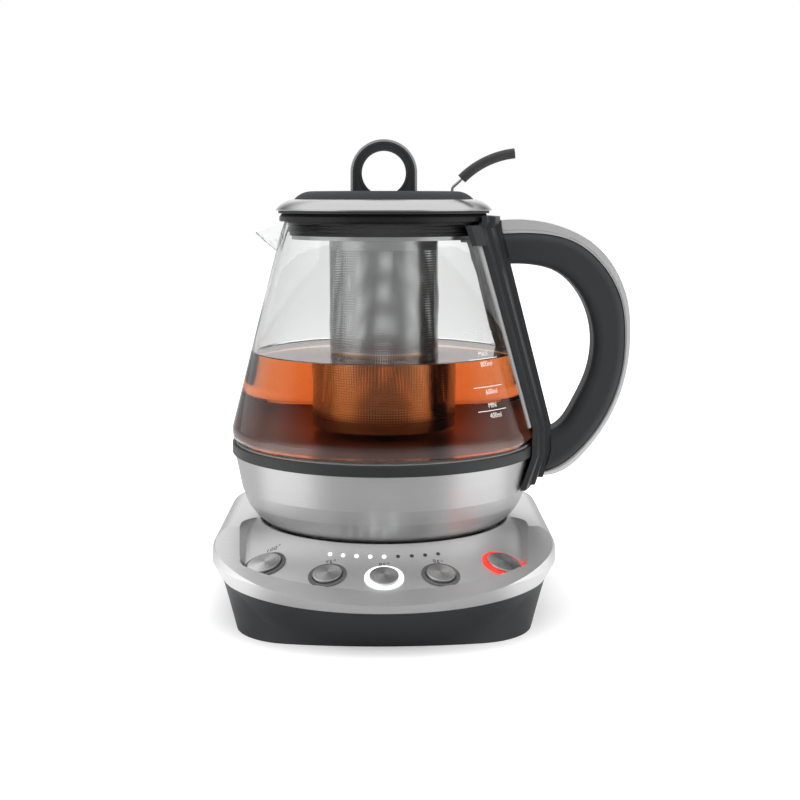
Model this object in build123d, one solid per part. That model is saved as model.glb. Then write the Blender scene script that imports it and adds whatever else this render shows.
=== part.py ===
from build123d import *
import os
from math import asin, atan, cos, degrees, hypot, radians, sin, sqrt, tan

# Glass tea maker: a lift-off glass jug with an infuser and a lid, on a powered base with five keys.
# Millimetres. +Z is up, the keys face -Y, the handle points along +X.
# The origin lies on the table, under the jug's vertical axis.

# ---- Fits and walls ----
FACE_GAP = 0.3          # between bodies that pass each other
PIN_GAP = 0.05          # running fit of a pin in its eye, on the radius
STEEL_WALL = 1.0
PLASTIC_WALL = 2.2

# ---- Main sizes ----
GLASS_WIDE_R = 80.0     # outer radius of the glass at its widest, near its foot
GLASS_WIDE_Z = 92.3
GLASS_TAPER = 0.2542    # radius lost for each millimetre of height
GLASS_TOP_Z = 199.0
NECK_R = round(GLASS_WIDE_R - GLASS_TAPER * (GLASS_TOP_Z - GLASS_WIDE_Z), 1)    # nominal, at the rim
DECK_Z = 41.7           # flat shoulders of the base's cap
WELL_LIP_R = GLASS_WIDE_R - 14.0
WELL_TO_KEYS = 19.5
KEY_CIRCLE_R = WELL_LIP_R + WELL_TO_KEYS

# ---- Base ----
RIM_LOW_Z = 20.0        # where the steel cap meets the dark housing
RIM_HIGH_Z = 28.4       # where the cap's wall stops leaning outwards
CAP_WALL = 1.5
CAP_EDGE_R = 8.0
REAR_Y = GLASS_WIDE_R + 8.0
FRONT_SLOPE = 11.8      # degrees that the deck falls towards the keys
SLOPE_START_Y = 58.5 - KEY_CIRCLE_R
CAP_FRONT_Y = -KEY_CIRCLE_R - 26.5
CAP_HALF_WIDTH = GLASS_WIDE_R + 7.3
CAP_OUTLINE = {
    "half_width": CAP_HALF_WIDTH, "front": CAP_FRONT_Y, "corner": 62.0, "front_radius": CAP_HALF_WIDTH + 2.7,
}
SEAM_OUTLINE = {
    "half_width": CAP_HALF_WIDTH - 4.8, "front": CAP_FRONT_Y + 5.0, "corner": 60.0,
    "front_radius": CAP_HALF_WIDTH - 1.3,
}
FLOOR_OUTLINE = {
    "half_width": CAP_HALF_WIDTH - 14.3, "front": CAP_FRONT_Y + 19.0, "corner": 32.0, "front_radius": 260.0,
}
REAR_CORNER_R = 36.0
SEAM_REAR_INSET = 4.8
FLOOR_REAR_INSET = 12.0
PLATE_Z = 2.0           # underside of the bottom cover
PLATE_T = 2.2
WELL_LIP_Z = DECK_Z + 0.7
WELL_LIP_WIDTH = 0.8
WELL_FLOOR_R = WELL_LIP_R - 3.5
WELL_FLOOR_Z = DECK_Z - 6.7
TRAY_T = 2.0
SCOOP_BEND_R = KEY_CIRCLE_R - 3.5     # where the straight part under the keys turns up to the well's lip
SCOOP_RUN_OUT = 6.0
SCOOP_ROOF = 10.0
SCOOP_LOW = {
    "half_width": KEY_CIRCLE_R - 19.0, "front": -KEY_CIRCLE_R - 7.0, "corner": 24.0,
    "front_radius": KEY_CIRCLE_R + 6.5,
}
SCOOP_HIGH = {
    "half_width": KEY_CIRCLE_R - 5.5, "front": -KEY_CIRCLE_R - 28.5, "corner": 34.0,
    "front_radius": KEY_CIRCLE_R + 26.5,
}
FLARE_LOW = 4.0
FLARE_INSET = 3.0

# ---- Keys ----
KEY_CENTRE_Z = DECK_Z - 10.7
KEY_TILT = 19.5         # degrees that the panel under the keys leans towards the user
KEY_ANGLES = {"100": -43.5, "75": -18.5, "85": 0.0, "95": 18.5, "start": 43.5}
KEY_SMALL_R = 7.1
KEY_LARGE_R = 8.6
RING_WIDTH = 2.0
LEDGE_WIDTH = 0.6       # how far a light ring spreads under the cap
KEY_PROUD = 1.7
KEY_TRAVEL = 1.0
KEY_CAP_H = 3.4
STEM_R = 3.0
STEM_LENGTH = 7.0
SWITCH_H = 2.0
CARRIER_LEGS = (-31.0, 0.0, 31.0)
LAMP_CIRCLE_R = KEY_CIRCLE_R - 13.5
LAMP_PITCH = 5.37       # degrees between indicator lights
LAMP_R = 1.0
LAMPS_ON = (-4, -3, -2, -1, 0)
LAMPS_OFF = (1, 2, 3, 4)

# ---- Jug ----
GLASS_WALL = 2.2
GLASS_BASE_Z = 84.0
GLASS_FOOT_R = GLASS_WIDE_R - 2.6
SPOUT_REACH = NECK_R + 14.9
SPOUT_LIP_Z = 192.5
SPOUT_WALL = 2.0
COLLAR_R = GLASS_WIDE_R + 0.4
COLLAR_LOW_Z = 78.1
COLLAR_TOP_Z = 83.6
BOWL_TOP_R = GLASS_WIDE_R - 0.8
BOWL_FOOT_R = 47.0
JUG_FOOT_Z = 35.0       # heights on the jug and the lid count from this floor of the well
JUG_PLACE = Pos(0, 0, WELL_FLOOR_Z - JUG_FOOT_Z)
PLUG_R = 14.0
PLUG_TOP_Z = WELL_FLOOR_Z + 8.5
PLUG_GAP = 0.7
HEATER_R = GLASS_WIDE_R - 6.6
HEATER_Z = 84.5
HEATER_T = 1.2

# ---- Handle ----
PAD_T = 0.7
SADDLE_T = 2.6
SADDLE_HALF_WIDTH = 27.0
SADDLE_FOOT_HALF_WIDTH = 31.0
PAD_HALF_WIDTH = 30.0
LUG_HALF_WIDTH = 36.0
FRAME_T = 2.0
FRAME_HALF_WIDTH = 22.0
SPINE_T = 2.2
SPINE_HALF_WIDTH = 10.0
GRIP_HALF_WIDTH = 11.0
BAND_HALF_WIDTH = 8.5
GRIP_ROUND_R = 5.0
TRIM_SHARE = 0.26       # part of the space outside the grip that the thin trim fills

# ---- Infuser ----
TUBE_R = 28.7
TUBE_WALL = 0.8
TUBE_TOP_Z = 190.4
TUBE_LOW_Z = 88.5
SEAL_T = 4.0
SEAL_FLANGE_R = NECK_R + 2.0
SEAL_BORE_R = NECK_R - 8.9
SEAL_BODY_R = NECK_R - 3.3

# ---- Lid ----
LID_SEAT_Z = GLASS_TOP_Z + SEAL_T
LID_R = NECK_R + 3.8
RIM_TOP_R = NECK_R - 5.4
RIM_TOP_Z = 210.2
DISC_TOP_R = RIM_TOP_R - 9.2
DISC_TOP_Z = 214.4
KNOB_Z = 224.0
KNOB_R = 16.2
KNOB_BAND_T = 1.2
KNOB_HOLE_R = 11.6
KNOB_DEPTH = 11.0
LEVER_X = DISC_TOP_R - 2.3
LEVER_Z = 211.2
LEVER_PIN_R = 1.0
WIRE_R = 0.75
SLOT_HALF_WIDTH = 2.4

# ---- Base fittings ----
GLAND_Z = 11.0
GLAND_R = 4.5
GLAND_Y = REAR_Y - 14.0
TRAY_POSTS = ((-48, 34), (48, 34), (-44, -36), (44, -36))
POST_R = 4.0
SCREW_R = 1.5
SCREW_HEAD_R = 3.0
FOOT_PLACES = ((-56, 56), (56, 56), (-50, -66), (50, -66))
FOOT_R = 7.0
BOARD_Z = 9.0
BOARD_T = 1.6
BOARD_X, BOARD_Y = 60.0, 44.0
PEGS = ((-26, -18), (26, -18), (-26, 18), (26, 18))

# ---- Jug fittings ----
# Horizontal sections of the beak: height, sharp apex beyond the neck, half-width at the jug's wall
BEAK_BACK_X = NECK_R - 12.9
BEAK_SECTIONS = (
    (178.0, 6.1, 4.0), (184.0, 10.5, 9.5), (189.0, 15.0, 13.5), (194.0, 20.1, 16.5), (201.0, 27.6, 19.5),
)
BEAK_TIP_R = 3.2
BOWL_SCREW_ZS = (64.0, 72.0)
SOCKET_R = PLUG_R + PLUG_GAP
SOCKET_TOP_Z = JUG_FOOT_Z + PLUG_TOP_Z - WELL_FLOOR_Z + 2.5
PROBE_X, PROBE_Y, PROBE_R = 0.0, 48.0, 3.0

# ---- Handle line ----
HANDLE_TOP_Z = 201.6
NECK_Z = 198.4
NECK_CLEAR_R = NECK_R + 3.7     # inner radius of the strap's humps, clear of the seal
HUMP_T = 2.2
HUMP_GAP = 0.1
JOGGLE_Z = 195.4        # where the strap leaves the glass towards its humps
STRAP_SHOULDER = (GLASS_WIDE_R + 0.5, 78.0)
STRAP_FOOT = (GLASS_WIDE_R - 4.4, 61.0)
FRAME_FOOT_Z = 62.2
SPINE_FOOT_Z = 63.8
# Stations from the strap's top round to its foot, as distances beyond the widest glass and heights:
# points on the grip's outer edge, on the band's, and on the inside of the loop
GRIP_EDGE = (
    (4.0, 192.2), (18.5, 188.6), (28.6, 182.2), (39.3, 169.4), (44.9, 156.5),
    (46.9, 140.5), (46.2, 124.4), (38.3, 98.7), (24.9, 79.5), (10.2, 68.2),
)
BAND_EDGE = (
    (4.0, 198.3), (21.5, 192.2), (32.3, 184.9), (42.6, 171.3), (47.9, 157.0),
    (49.5, 140.5), (48.4, 124.2), (40.3, 97.7), (26.8, 77.7), (12.0, 66.0),
)
GRIP_TOP_Z = 192.4
BAND_TOP_Z = 199.3
GRIP_FOOT_Z = 66.4
BAND_FOOT_Z = 64.6
LOOP_EDGE = (
    (1.9, 175.3), (11.2, 172.0), (19.5, 165.1), (25.1, 156.8),
    (30.1, 139.2), (27.2, 117.1), (20.4, 102.5), (13.6, 92.2),
)
LOOP_TOP_Z = 176.5
LOOP_FOOT_Z = 88.6

# ---- Strainer and lid fittings ----
LID_DECK_Z = 206.0
KNOB_SCREW_X = KNOB_R - 3.0
GRIP_START = (LEVER_X + 5.0, 220.9)
GRIP_MIDDLE = (LEVER_X + 20.0, 231.0)
GRIP_END = (LEVER_X + 32.6, 234.2)
FLOOR_LIP_H = 3.0
SHEET_T = 0.8

os.makedirs("parts", exist_ok=True)


def save(name, *solids):
    """Write one sub-part, made of one or more separate solids."""
    shape = solids[0] if len(solids) == 1 else Compound(children=list(solids))
    export_step(shape, f"parts/{name}.step")


def turned(*profile):
    """Solid of revolution about the jug's axis from (radius, height) corners."""
    face = make_face(Polyline(*profile, close=True))
    return revolve(Plane.XZ * face, Axis.Z)


def turned_face(*edges):
    """Solid of revolution about the jug's axis from a closed run of lines and arcs."""
    return revolve(Plane.XZ * make_face(Curve() + list(edges)), Axis.Z)


def disc(radius, low, high):
    """Upright cylinder about the jug's axis."""
    return Pos(0, 0, low) * Cylinder(radius, high - low, align=(Align.CENTER, Align.CENTER, Align.MIN))


def post(x, y, radius, low, high):
    """Upright cylinder that stands at (x, y)."""
    return Pos(x, y, 0) * disc(radius, low, high)


def slab(half_width, low, high, start=0.0, stop=200.0):
    """Block on the handle's side, centred on its plane."""
    return Pos((start + stop) / 2, 0, (low + high) / 2) * Box(stop - start, 2 * half_width, high - low)


# ---------------------------------------------------------------- base: outlines

def plan(half_width, front, corner, front_radius, rear=REAR_Y, rear_corner=REAR_CORNER_R, inset=0.0):
    """Plan of the base: straight sides, wide front corners and a gently curved front."""
    w, f, c, r = half_width - inset, front + inset, corner - inset, front_radius - inset
    back, b = rear - inset, rear_corner - inset
    corner_y = f + r - sqrt((r - c) ** 2 - (w - c) ** 2)
    reach = r / (r - c)
    tangent = ((w - c) * reach, f + r + (corner_y - f - r) * reach)
    turn = degrees(atan((f + r - corner_y) / (w - c)))
    mid = radians(turn / 2)
    half = [
        Line((0, back), (w - b, back)),
        CenterArc((w - b, back - b), b, 0, 90),
        Line((w, back - b), (w, corner_y)),
        ThreePointArc((w, corner_y), (w - c + c * cos(mid), corner_y - c * sin(mid)), tangent),
        ThreePointArc(tangent, arc_middle(tangent, (0, f), (0, f + r), r), (0, f)),
    ]
    right = Curve() + half
    return make_face(right + mirror(right, Plane.YZ))


def arc_middle(start, end, centre, radius):
    """Point halfway along the arc from start to end."""
    x, y = (start[0] + end[0]) / 2 - centre[0], (start[1] + end[1]) / 2 - centre[1]
    scale_out = radius / hypot(x, y)
    return centre[0] + x * scale_out, centre[1] + y * scale_out


def deck_height(y):
    """Height of the cap's top along the middle of the base."""
    return DECK_Z - max(0.0, SLOPE_START_Y - y) * tan(radians(FRONT_SLOPE))


def flat_height(radius):
    """Height of the straight part of the hollow front, which holds the keys."""
    return KEY_CENTRE_Z - (radius - KEY_CIRCLE_R) * tan(radians(KEY_TILT))


def scoop_end():
    """Distance from the axis at which the straight part runs out into the sloping deck."""
    key, deck = tan(radians(KEY_TILT)), tan(radians(FRONT_SLOPE))
    return (KEY_CENTRE_Z + KEY_CIRCLE_R * key - DECK_Z + SLOPE_START_Y * deck) / (key - deck)


def scoop_bend():
    """Centre and radius of the curve that lifts the hollow front to the well's lip."""
    lean = radians(KEY_TILT)
    run = SCOOP_BEND_R - WELL_LIP_R - WELL_LIP_WIDTH
    rise = WELL_LIP_Z - flat_height(SCOOP_BEND_R)
    radius = hypot(run, rise) / (2 * sin(atan(rise / run) - lean))
    return SCOOP_BEND_R + radius * sin(lean), flat_height(SCOOP_BEND_R) + radius * cos(lean), radius


def scoop_edges(inset, first, last):
    """Hollow front's line between two distances from the axis, moved down by a wall's thickness."""
    cx, cz, r = scoop_bend()
    r, lean = r + inset, radians(KEY_TILT)
    at = lambda x: (x, cz - sqrt(r ** 2 - (cx - x) ** 2))
    bend = (cx - r * sin(lean), cz - r * cos(lean))
    end = (last, flat_height(last) - inset / cos(lean))
    curve = ThreePointArc(at(first), at((first + bend[0]) / 2), bend)
    return at(first), end, [curve, Line(bend, end)]


def panel_place(radius, angle):
    """Plane on the hollow front surface, looking out of it, at an angle round from the front."""
    cx, cz, r = scoop_bend()
    lean = asin(min((cx - radius) / r, 1.0)) if radius < SCOOP_BEND_R else radians(KEY_TILT)
    height = cz - r * cos(lean) if radius < SCOOP_BEND_R else flat_height(radius)
    a = radians(angle)
    outward = Vector(sin(a), -cos(a), 0)
    normal = outward * sin(lean) + Vector(0, 0, cos(lean))
    origin = outward * radius + Vector(0, 0, height)
    return Plane(origin=origin, x_dir=Vector(cos(a), sin(a), 0), z_dir=normal)


def scoop_pocket(inset):
    """Space that the hollow front takes out of the sloping deck, with leaning side walls."""
    first, last = WELL_LIP_R + WELL_LIP_WIDTH - inset, scoop_end() + SCOOP_RUN_OUT
    low_z, roof = flat_height(last), WELL_LIP_Z + SCOOP_ROOF
    low = plan(**SCOOP_LOW, rear=-10.0, rear_corner=8.0, inset=-inset)
    high = plan(**SCOOP_HIGH, rear=0.0, rear_corner=20.0, inset=-inset)
    walls = loft([Pos(0, 0, low_z) * low, Pos(0, 0, roof) * high])
    start, end, edges = scoop_edges(inset, first, last)
    over = turned_face(
        *edges,
        Line(end, (last, roof)),
        Line((last, roof), (first, roof)),
        Line((first, roof), start),
    )
    return walls & over


def lip_form(inset):
    """Round lip of the well, with the hollow front surface flowing down from it."""
    first, last = WELL_LIP_R + WELL_LIP_WIDTH, scoop_end()
    start, end, edges = scoop_edges(inset, first, last)
    low, top = RIM_LOW_Z + FLARE_LOW, start[1]
    flare = turned_face(
        Line((0, top), start),
        *edges,
        Line(end, (last, low)),
        Line((last, low), (0, low)),
        Line((0, low), (0, top)),
    )
    return flare & extrude(Pos(0, 0, low) * plan(**CAP_OUTLINE, inset=inset + FLARE_INSET), amount=top - low)


def cap_form(inset):
    """Solid form of the steel cap, drawn in by a wall's thickness."""
    drop = inset
    low = Pos(0, 0, RIM_LOW_Z) * plan(**SEAM_OUTLINE, rear=REAR_Y - SEAM_REAR_INSET, inset=inset)
    belly = Pos(0, 0, RIM_HIGH_Z) * plan(**CAP_OUTLINE, inset=inset)
    body = loft([low, belly], ruled=True)
    top = extrude(belly, amount=DECK_Z - drop - RIM_HIGH_Z)
    crown = top.faces().sort_by(Axis.Z)[-1].edges()
    body = body + fillet(crown, CAP_EDGE_R - inset)
    y0, y1 = SLOPE_START_Y, CAP_FRONT_Y - 18.0
    z0, z1 = DECK_Z - drop, deck_height(y1) - drop
    wedge = make_face(Polyline((y0, z0), (y1, z1), (y1, z0 + 20), (y0, z0 + 20), close=True))
    body = body - extrude(Plane.YZ * wedge, amount=CAP_HALF_WIDTH + 12.7, both=True)
    return body - scoop_pocket(inset) + lip_form(inset)


def well(grow, low):
    """The round recess that the jug stands in."""
    return turned(
        (0, low),
        (WELL_FLOOR_R + grow, low),
        (WELL_FLOOR_R + grow, WELL_FLOOR_Z + 1.5),
        (WELL_LIP_R + grow, WELL_LIP_Z),
        (WELL_LIP_R + grow, WELL_LIP_Z + 5),
        (0, WELL_LIP_Z + 5),
    )


# ---------------------------------------------------------------- base: pieces

def key_radius(name):
    """The two outer keys are larger than the three between them."""
    return KEY_LARGE_R if name in ("100", "start") else KEY_SMALL_R


def place(radius, angle, *shapes):
    """Put shapes drawn on the XY plane on the hollow front surface."""
    return [panel_place(radius, angle).location * shape for shape in shapes]


def tube(outer, inner, low, high):
    """Upright sleeve at the origin."""
    return disc(outer, low, high) - disc(inner, low - 1, high + 1)


def control_panel():
    """Steel cap with its well, its hollow front and the openings for keys and lamps."""
    hollow = cap_form(CAP_WALL) - well(CAP_WALL, WELL_FLOOR_Z)
    panel = cap_form(0.0) - hollow - well(0.0, RIM_LOW_Z - 5)
    panel = panel - disc(WELL_FLOOR_R + CAP_WALL + 1, RIM_LOW_Z - 5, WELL_FLOOR_Z)
    for name, angle in KEY_ANGLES.items():
        hole = disc(key_radius(name) + FACE_GAP + RING_WIDTH, -8, 8)
        panel = panel - place(KEY_CIRCLE_R, angle, hole)[0]
    for index in LAMPS_ON + LAMPS_OFF:
        panel = panel - place(LAMP_CIRCLE_R, index * LAMP_PITCH, disc(LAMP_R, -5, 5))[0]
    return panel


def housing_form(inset, low=0.0):
    """Tapered lower housing, drawn in by a wall's thickness."""
    floor = Pos(0, 0, low) * plan(**FLOOR_OUTLINE, rear=REAR_Y - FLOOR_REAR_INSET, inset=inset)
    seam = Pos(0, 0, RIM_LOW_Z) * plan(**SEAM_OUTLINE, rear=REAR_Y - SEAM_REAR_INSET, inset=inset)
    return loft([floor, seam], ruled=True)


def base_housing():
    """Dark shell that stands on its lower rim, with the cord's outlet at the back."""
    shell = housing_form(0.0) - housing_form(PLASTIC_WALL)
    outlet = Pos(0, GLAND_Y, GLAND_Z) * Rot(90, 0, 0) * Cylinder(GLAND_R, 40)
    return shell - outlet


def bottom_cover():
    """Flat cover inside the housing's lower rim, with counterbored screw holes."""
    sheet = Pos(0, 0, PLATE_Z + PLATE_T / 2) * Box(300, 300, PLATE_T)
    cover = sheet & housing_form(PLASTIC_WALL)
    for x, y in TRAY_POSTS:
        cover = cover - post(x, y, SCREW_HEAD_R, 0, PLATE_Z + 1.2) - post(x, y, SCREW_R, 0, 10)
    return cover


def bottom_screws():
    """Screws that hold the tray's posts down on the bottom cover."""
    head, tip = PLATE_Z + 1.2, PLATE_Z + PLATE_T + 10
    shape = lambda x, y: post(x, y, SCREW_HEAD_R, head - 1.0, head) + post(x, y, SCREW_R, head, tip)
    return [shape(x, y) for x, y in TRAY_POSTS]


def well_tray():
    """Floor of the well on four posts, with the hole for the connector."""
    tray = disc(WELL_FLOOR_R + CAP_WALL + 0.5, WELL_FLOOR_Z - TRAY_T, WELL_FLOOR_Z)
    for x, y in TRAY_POSTS:
        tray = tray + post(x, y, POST_R, PLATE_Z + PLATE_T, WELL_FLOOR_Z - TRAY_T)
        tray = tray - post(x, y, SCREW_R, PLATE_Z, PLATE_Z + PLATE_T + 10)
    drain = post(0, 52, 2.5, WELL_FLOOR_Z - TRAY_T - 1, WELL_FLOOR_Z + 1)
    return tray - disc(PLUG_R, 20, 50) - drain


def connector_plug():
    """Round plug that rises out of the well, with two ring grooves and a centre hole."""
    flange = disc(PLUG_R + 3, WELL_FLOOR_Z - TRAY_T - 3, WELL_FLOOR_Z - TRAY_T)
    body = disc(PLUG_R, WELL_FLOOR_Z - TRAY_T, PLUG_TOP_Z)
    grooves = tube(11.5, 9.5, PLUG_TOP_Z - 6, PLUG_TOP_Z + 1) + tube(7.0, 5.2, PLUG_TOP_Z - 6, PLUG_TOP_Z + 1)
    return flange + body - grooves - disc(2.2, PLUG_TOP_Z - 7, PLUG_TOP_Z + 1)


def connector_springs():
    """Ring contacts at the bottom of the plug's grooves."""
    low, high = PLUG_TOP_Z - 6, PLUG_TOP_Z - 2
    return [tube(11.3, 10.7, low, high), tube(6.8, 6.2, low, high)]


def board_pegs():
    """Short pegs that carry the power board."""
    return [post(x, y, 2.5, PLATE_Z + PLATE_T, BOARD_Z) for x, y in PEGS]


def power_board():
    """Circuit board under the tray."""
    return Pos(0, 0, BOARD_Z + BOARD_T / 2) * Box(BOARD_X, BOARD_Y, BOARD_T)


def board_parts():
    """Relay, transformer, capacitor and terminal block on the power board."""
    top = BOARD_Z + BOARD_T
    block = lambda x, y, a, b, h: Pos(x, y, top + h / 2) * Box(a, b, h)
    return [
        block(-18, 8, 16, 20, 14),
        block(8, 9, 22, 18, 13),
        post(20, -12, 5, top, top + 14),
        block(-14, -14, 18, 8, 9),
    ]


def switch_carrier():
    """Curved carrier under the hollow front that holds the key switches."""
    lean = radians(KEY_TILT)
    depth = KEY_CAP_H - KEY_PROUD + STEM_LENGTH + SWITCH_H + 0.5
    at = lambda x, more: (x, flat_height(x) - (depth + more) / cos(lean))
    first, last = KEY_CIRCLE_R - 13.0, KEY_CIRCLE_R + 1.0
    sheet = turned(at(first, 0), at(last, 0), at(last, 1.6), at(first, 1.6))
    side, front = KEY_CIRCLE_R + 14.5, -KEY_CIRCLE_R - 0.5
    wedge = make_face(Polyline((0, 0), (-side, front), (side, front), close=True))
    inside = housing_form(PLASTIC_WALL + 0.2) + cap_form(CAP_WALL + 0.2)
    carrier = sheet & extrude(wedge, amount=60) & inside
    leg_r = KEY_CIRCLE_R - 6.0
    for angle in CARRIER_LEGS:
        a = radians(angle)
        carrier = carrier + post(leg_r * sin(a), -leg_r * cos(a), 3.0, PLATE_Z + PLATE_T, at(leg_r, 0.8)[1])
    return carrier


def key_parts(name):
    """Cap and stem of one key, with its light ring and its switch."""
    r = key_radius(name)
    top = KEY_PROUD
    low = top - KEY_CAP_H
    cap = disc(r, low, top)
    cap = fillet(cap.faces().sort_by(Axis.Z)[-1].edges(), 0.5)
    cap = cap - disc(r - 1.3, low - 1, low + 1.2)
    stem = disc(STEM_R, low - STEM_LENGTH, low + 1.2)
    ring = tube(r + FACE_GAP + RING_WIDTH, r + FACE_GAP, low - 1.8, 0.4)
    ledge = tube(r + FACE_GAP + RING_WIDTH + LEDGE_WIDTH, r + FACE_GAP, low - 2.8, low - 1.8)
    bottom = low - STEM_LENGTH
    switch = Pos(0, 0, bottom - SWITCH_H / 2 - KEY_TRAVEL / 2 - 0.1) * Box(6, 6, SWITCH_H - KEY_TRAVEL)
    return place(KEY_CIRCLE_R, KEY_ANGLES[name], cap, stem, ring + ledge, switch)


def lamp(index):
    """Light guide of one indicator."""
    return place(LAMP_CIRCLE_R, index * LAMP_PITCH, disc(LAMP_R, -4.0, 0.15))[0]


def cord_gland():
    """Grommet in the housing's rear wall that the mains lead passes through."""
    body = Pos(0, GLAND_Y + 1, GLAND_Z) * Rot(90, 0, 0) * Cylinder(GLAND_R, 12)
    flange = Pos(0, GLAND_Y - 4.0, GLAND_Z) * Rot(90, 0, 0) * Cylinder(GLAND_R + 1.6, 2)
    bore = Pos(0, GLAND_Y, GLAND_Z) * Rot(90, 0, 0) * Cylinder(3.2, 40)
    return body + flange - bore


# ---------------------------------------------------------------- jug

def glass_r(z):
    """Outer radius of the glass cone at a height."""
    return GLASS_WIDE_R - GLASS_TAPER * (z - GLASS_WIDE_Z)


def glass_form(wall, high):
    """Solid form of the jug, drawn in by the glass's thickness."""
    foot_r = GLASS_FOOT_R - wall
    belly = (GLASS_WIDE_R + 0.2 - wall, 88.2)
    wide = (glass_r(GLASS_WIDE_Z) - wall, GLASS_WIDE_Z)
    top_r = glass_r(high) - wall
    return turned_face(
        Line((0, GLASS_BASE_Z), (foot_r, GLASS_BASE_Z)),
        ThreePointArc((foot_r, GLASS_BASE_Z), (foot_r + 2.0, 85.6), belly),
        ThreePointArc(belly, (belly[0] + 0.12, 90.3), wide),
        Line(wide, (top_r, high)),
        Line((top_r, high), (0, high)),
        Line((0, high), (0, GLASS_BASE_Z)),
    )


def beak_section(height, beyond, half_width, wall):
    """One level of the beak: two flat cheeks that meet in a rounded tip."""
    apex = NECK_R + beyond
    cheek = atan(half_width / (apex - BEAK_BACK_X))
    tip = apex - wall / sin(cheek)
    wide = max(half_width - wall / cos(cheek), 0.6)
    outline = Polyline((-BEAK_BACK_X, -wide), (-tip, 0), (-BEAK_BACK_X, wide), close=True)
    face = make_face(outline)
    front = face.vertices().sort_by(Axis.X)[0]
    return Pos(0, 0, height) * fillet(front, max(BEAK_TIP_R - wall, 1.0))


def beak(wall):
    """Pouring beak as a solid loft."""
    return loft([beak_section(*level, wall) for level in BEAK_SECTIONS])


def glass_jug():
    """Blown glass body with its beak; it is open at the neck and at the heater plate."""
    lip_start_x = glass_r(GLASS_TOP_Z)
    outer = glass_form(0.0, GLASS_TOP_Z) + beak(0.0)
    cavity = glass_form(GLASS_WALL, GLASS_TOP_Z + 8) + beak(SPOUT_WALL)
    cavity = cavity + disc(GLASS_FOOT_R - GLASS_WALL, GLASS_BASE_Z - 5, GLASS_BASE_Z + 0.5)
    drop = (GLASS_TOP_Z - SPOUT_LIP_Z) / (SPOUT_REACH - lip_start_x)
    far = SPOUT_REACH + 32.2
    above = make_face(
        Polyline(
            (20, GLASS_TOP_Z),
            (-lip_start_x, GLASS_TOP_Z),
            (-far, GLASS_TOP_Z - drop * (far - lip_start_x)),
            (-far, 240),
            (20, 240),
            close=True,
        )
    )
    above = extrude(Plane.XZ * above, amount=60, both=True)
    return outer - cavity - above - Pos(0, 0, GLASS_TOP_Z + 20) * Box(200, 200, 40)


def bowl_form(wall, foot):
    """Solid form of the steel bowl, drawn in by a wall's thickness."""
    points = [
        (BOWL_TOP_R - wall, COLLAR_LOW_Z),
        (BOWL_TOP_R - 0.9 - wall, 74.0),
        (BOWL_TOP_R - 3.6 - wall, 60.2),
        (BOWL_TOP_R - 6.3 - wall, 53.0),
        (BOWL_TOP_R - 10.9 - wall * 0.7, 46.4 + wall * 0.7),
        (BOWL_TOP_R - 24.2 - wall * 0.25, 39.2 + wall),
        (foot, 37.2 + wall),
    ]
    return turned_face(
        ThreePointArc(*points[0:3]),
        Line(points[2], points[3]),
        ThreePointArc(*points[3:6]),
        Line(points[5], points[6]),
        Line(points[6], (0, points[6][1])),
        Line((0, points[6][1]), (0, COLLAR_LOW_Z)),
        Line((0, COLLAR_LOW_Z), points[0]),
    )


def steel_bowl():
    """Brushed bowl that hides the heater and the connector."""
    bowl = bowl_form(0.0, BOWL_FOOT_R) - bowl_form(STEEL_WALL, BOWL_FOOT_R) - disc(BOWL_FOOT_R, 30, 50)
    for z in BOWL_SCREW_ZS:
        bowl = bowl - Pos(BOWL_TOP_R - 4.2, 0, z) * Rot(0, 90, 0) * Cylinder(SCREW_R, 30)
    return bowl


def bowl_foot():
    """Dark disc that closes the bowl and stands in the well."""
    foot = turned(
        (23.0, JUG_FOOT_Z + 2),
        (40.0, JUG_FOOT_Z + 2),
        (40.0, JUG_FOOT_Z),
        (BOWL_FOOT_R, JUG_FOOT_Z),
        (BOWL_FOOT_R, JUG_FOOT_Z + 2.4),
        (BOWL_FOOT_R + 0.0, 39.2),
        (BOWL_FOOT_R + 3.0, 39.2),
        (BOWL_FOOT_R + 3.0, 41.0),
        (23.0, 41.0),
    )
    return foot


def jug_connector():
    """Connector in the bowl's foot that drops over the base's plug."""
    body = disc(23.0, JUG_FOOT_Z + 2, SOCKET_TOP_Z + 6) - disc(SOCKET_R, 30, SOCKET_TOP_Z)
    return body


def jug_contacts():
    """Centre pin and ring blade that reach into the plug."""
    pin = disc(1.8, SOCKET_TOP_Z - 6, SOCKET_TOP_Z)
    ring = tube(10.4, 9.8, SOCKET_TOP_Z - 6, SOCKET_TOP_Z)
    return [pin, ring]


def collar_ring():
    """Grey ring that seats the glass on the bowl."""
    return turned(
        (HEATER_R - 5.4, 79.4),
        (BOWL_TOP_R - 4.7, 79.4),
        (BOWL_TOP_R - 2.7, COLLAR_LOW_Z),
        (COLLAR_R, COLLAR_LOW_Z),
        (COLLAR_R, COLLAR_TOP_Z - 0.5),
        (COLLAR_R - 0.5, COLLAR_TOP_Z),
        (COLLAR_R - 1.5, COLLAR_TOP_Z),
        (COLLAR_R - 1.5, 81.4),
        (HEATER_R - 5.4, 81.4),
    )


def plate_gasket():
    """Silicone ring between the glass, the collar and the heater plate."""
    return turned(
        (HEATER_R + 0.1, 81.4),
        (COLLAR_R - 1.8, 81.4),
        (COLLAR_R - 1.8, GLASS_BASE_Z),
        (GLASS_FOOT_R - GLASS_WALL - 0.1, GLASS_BASE_Z),
        (GLASS_FOOT_R - GLASS_WALL - 0.3, 85.6),
        (HEATER_R + 0.1, 85.6),
    )


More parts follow.
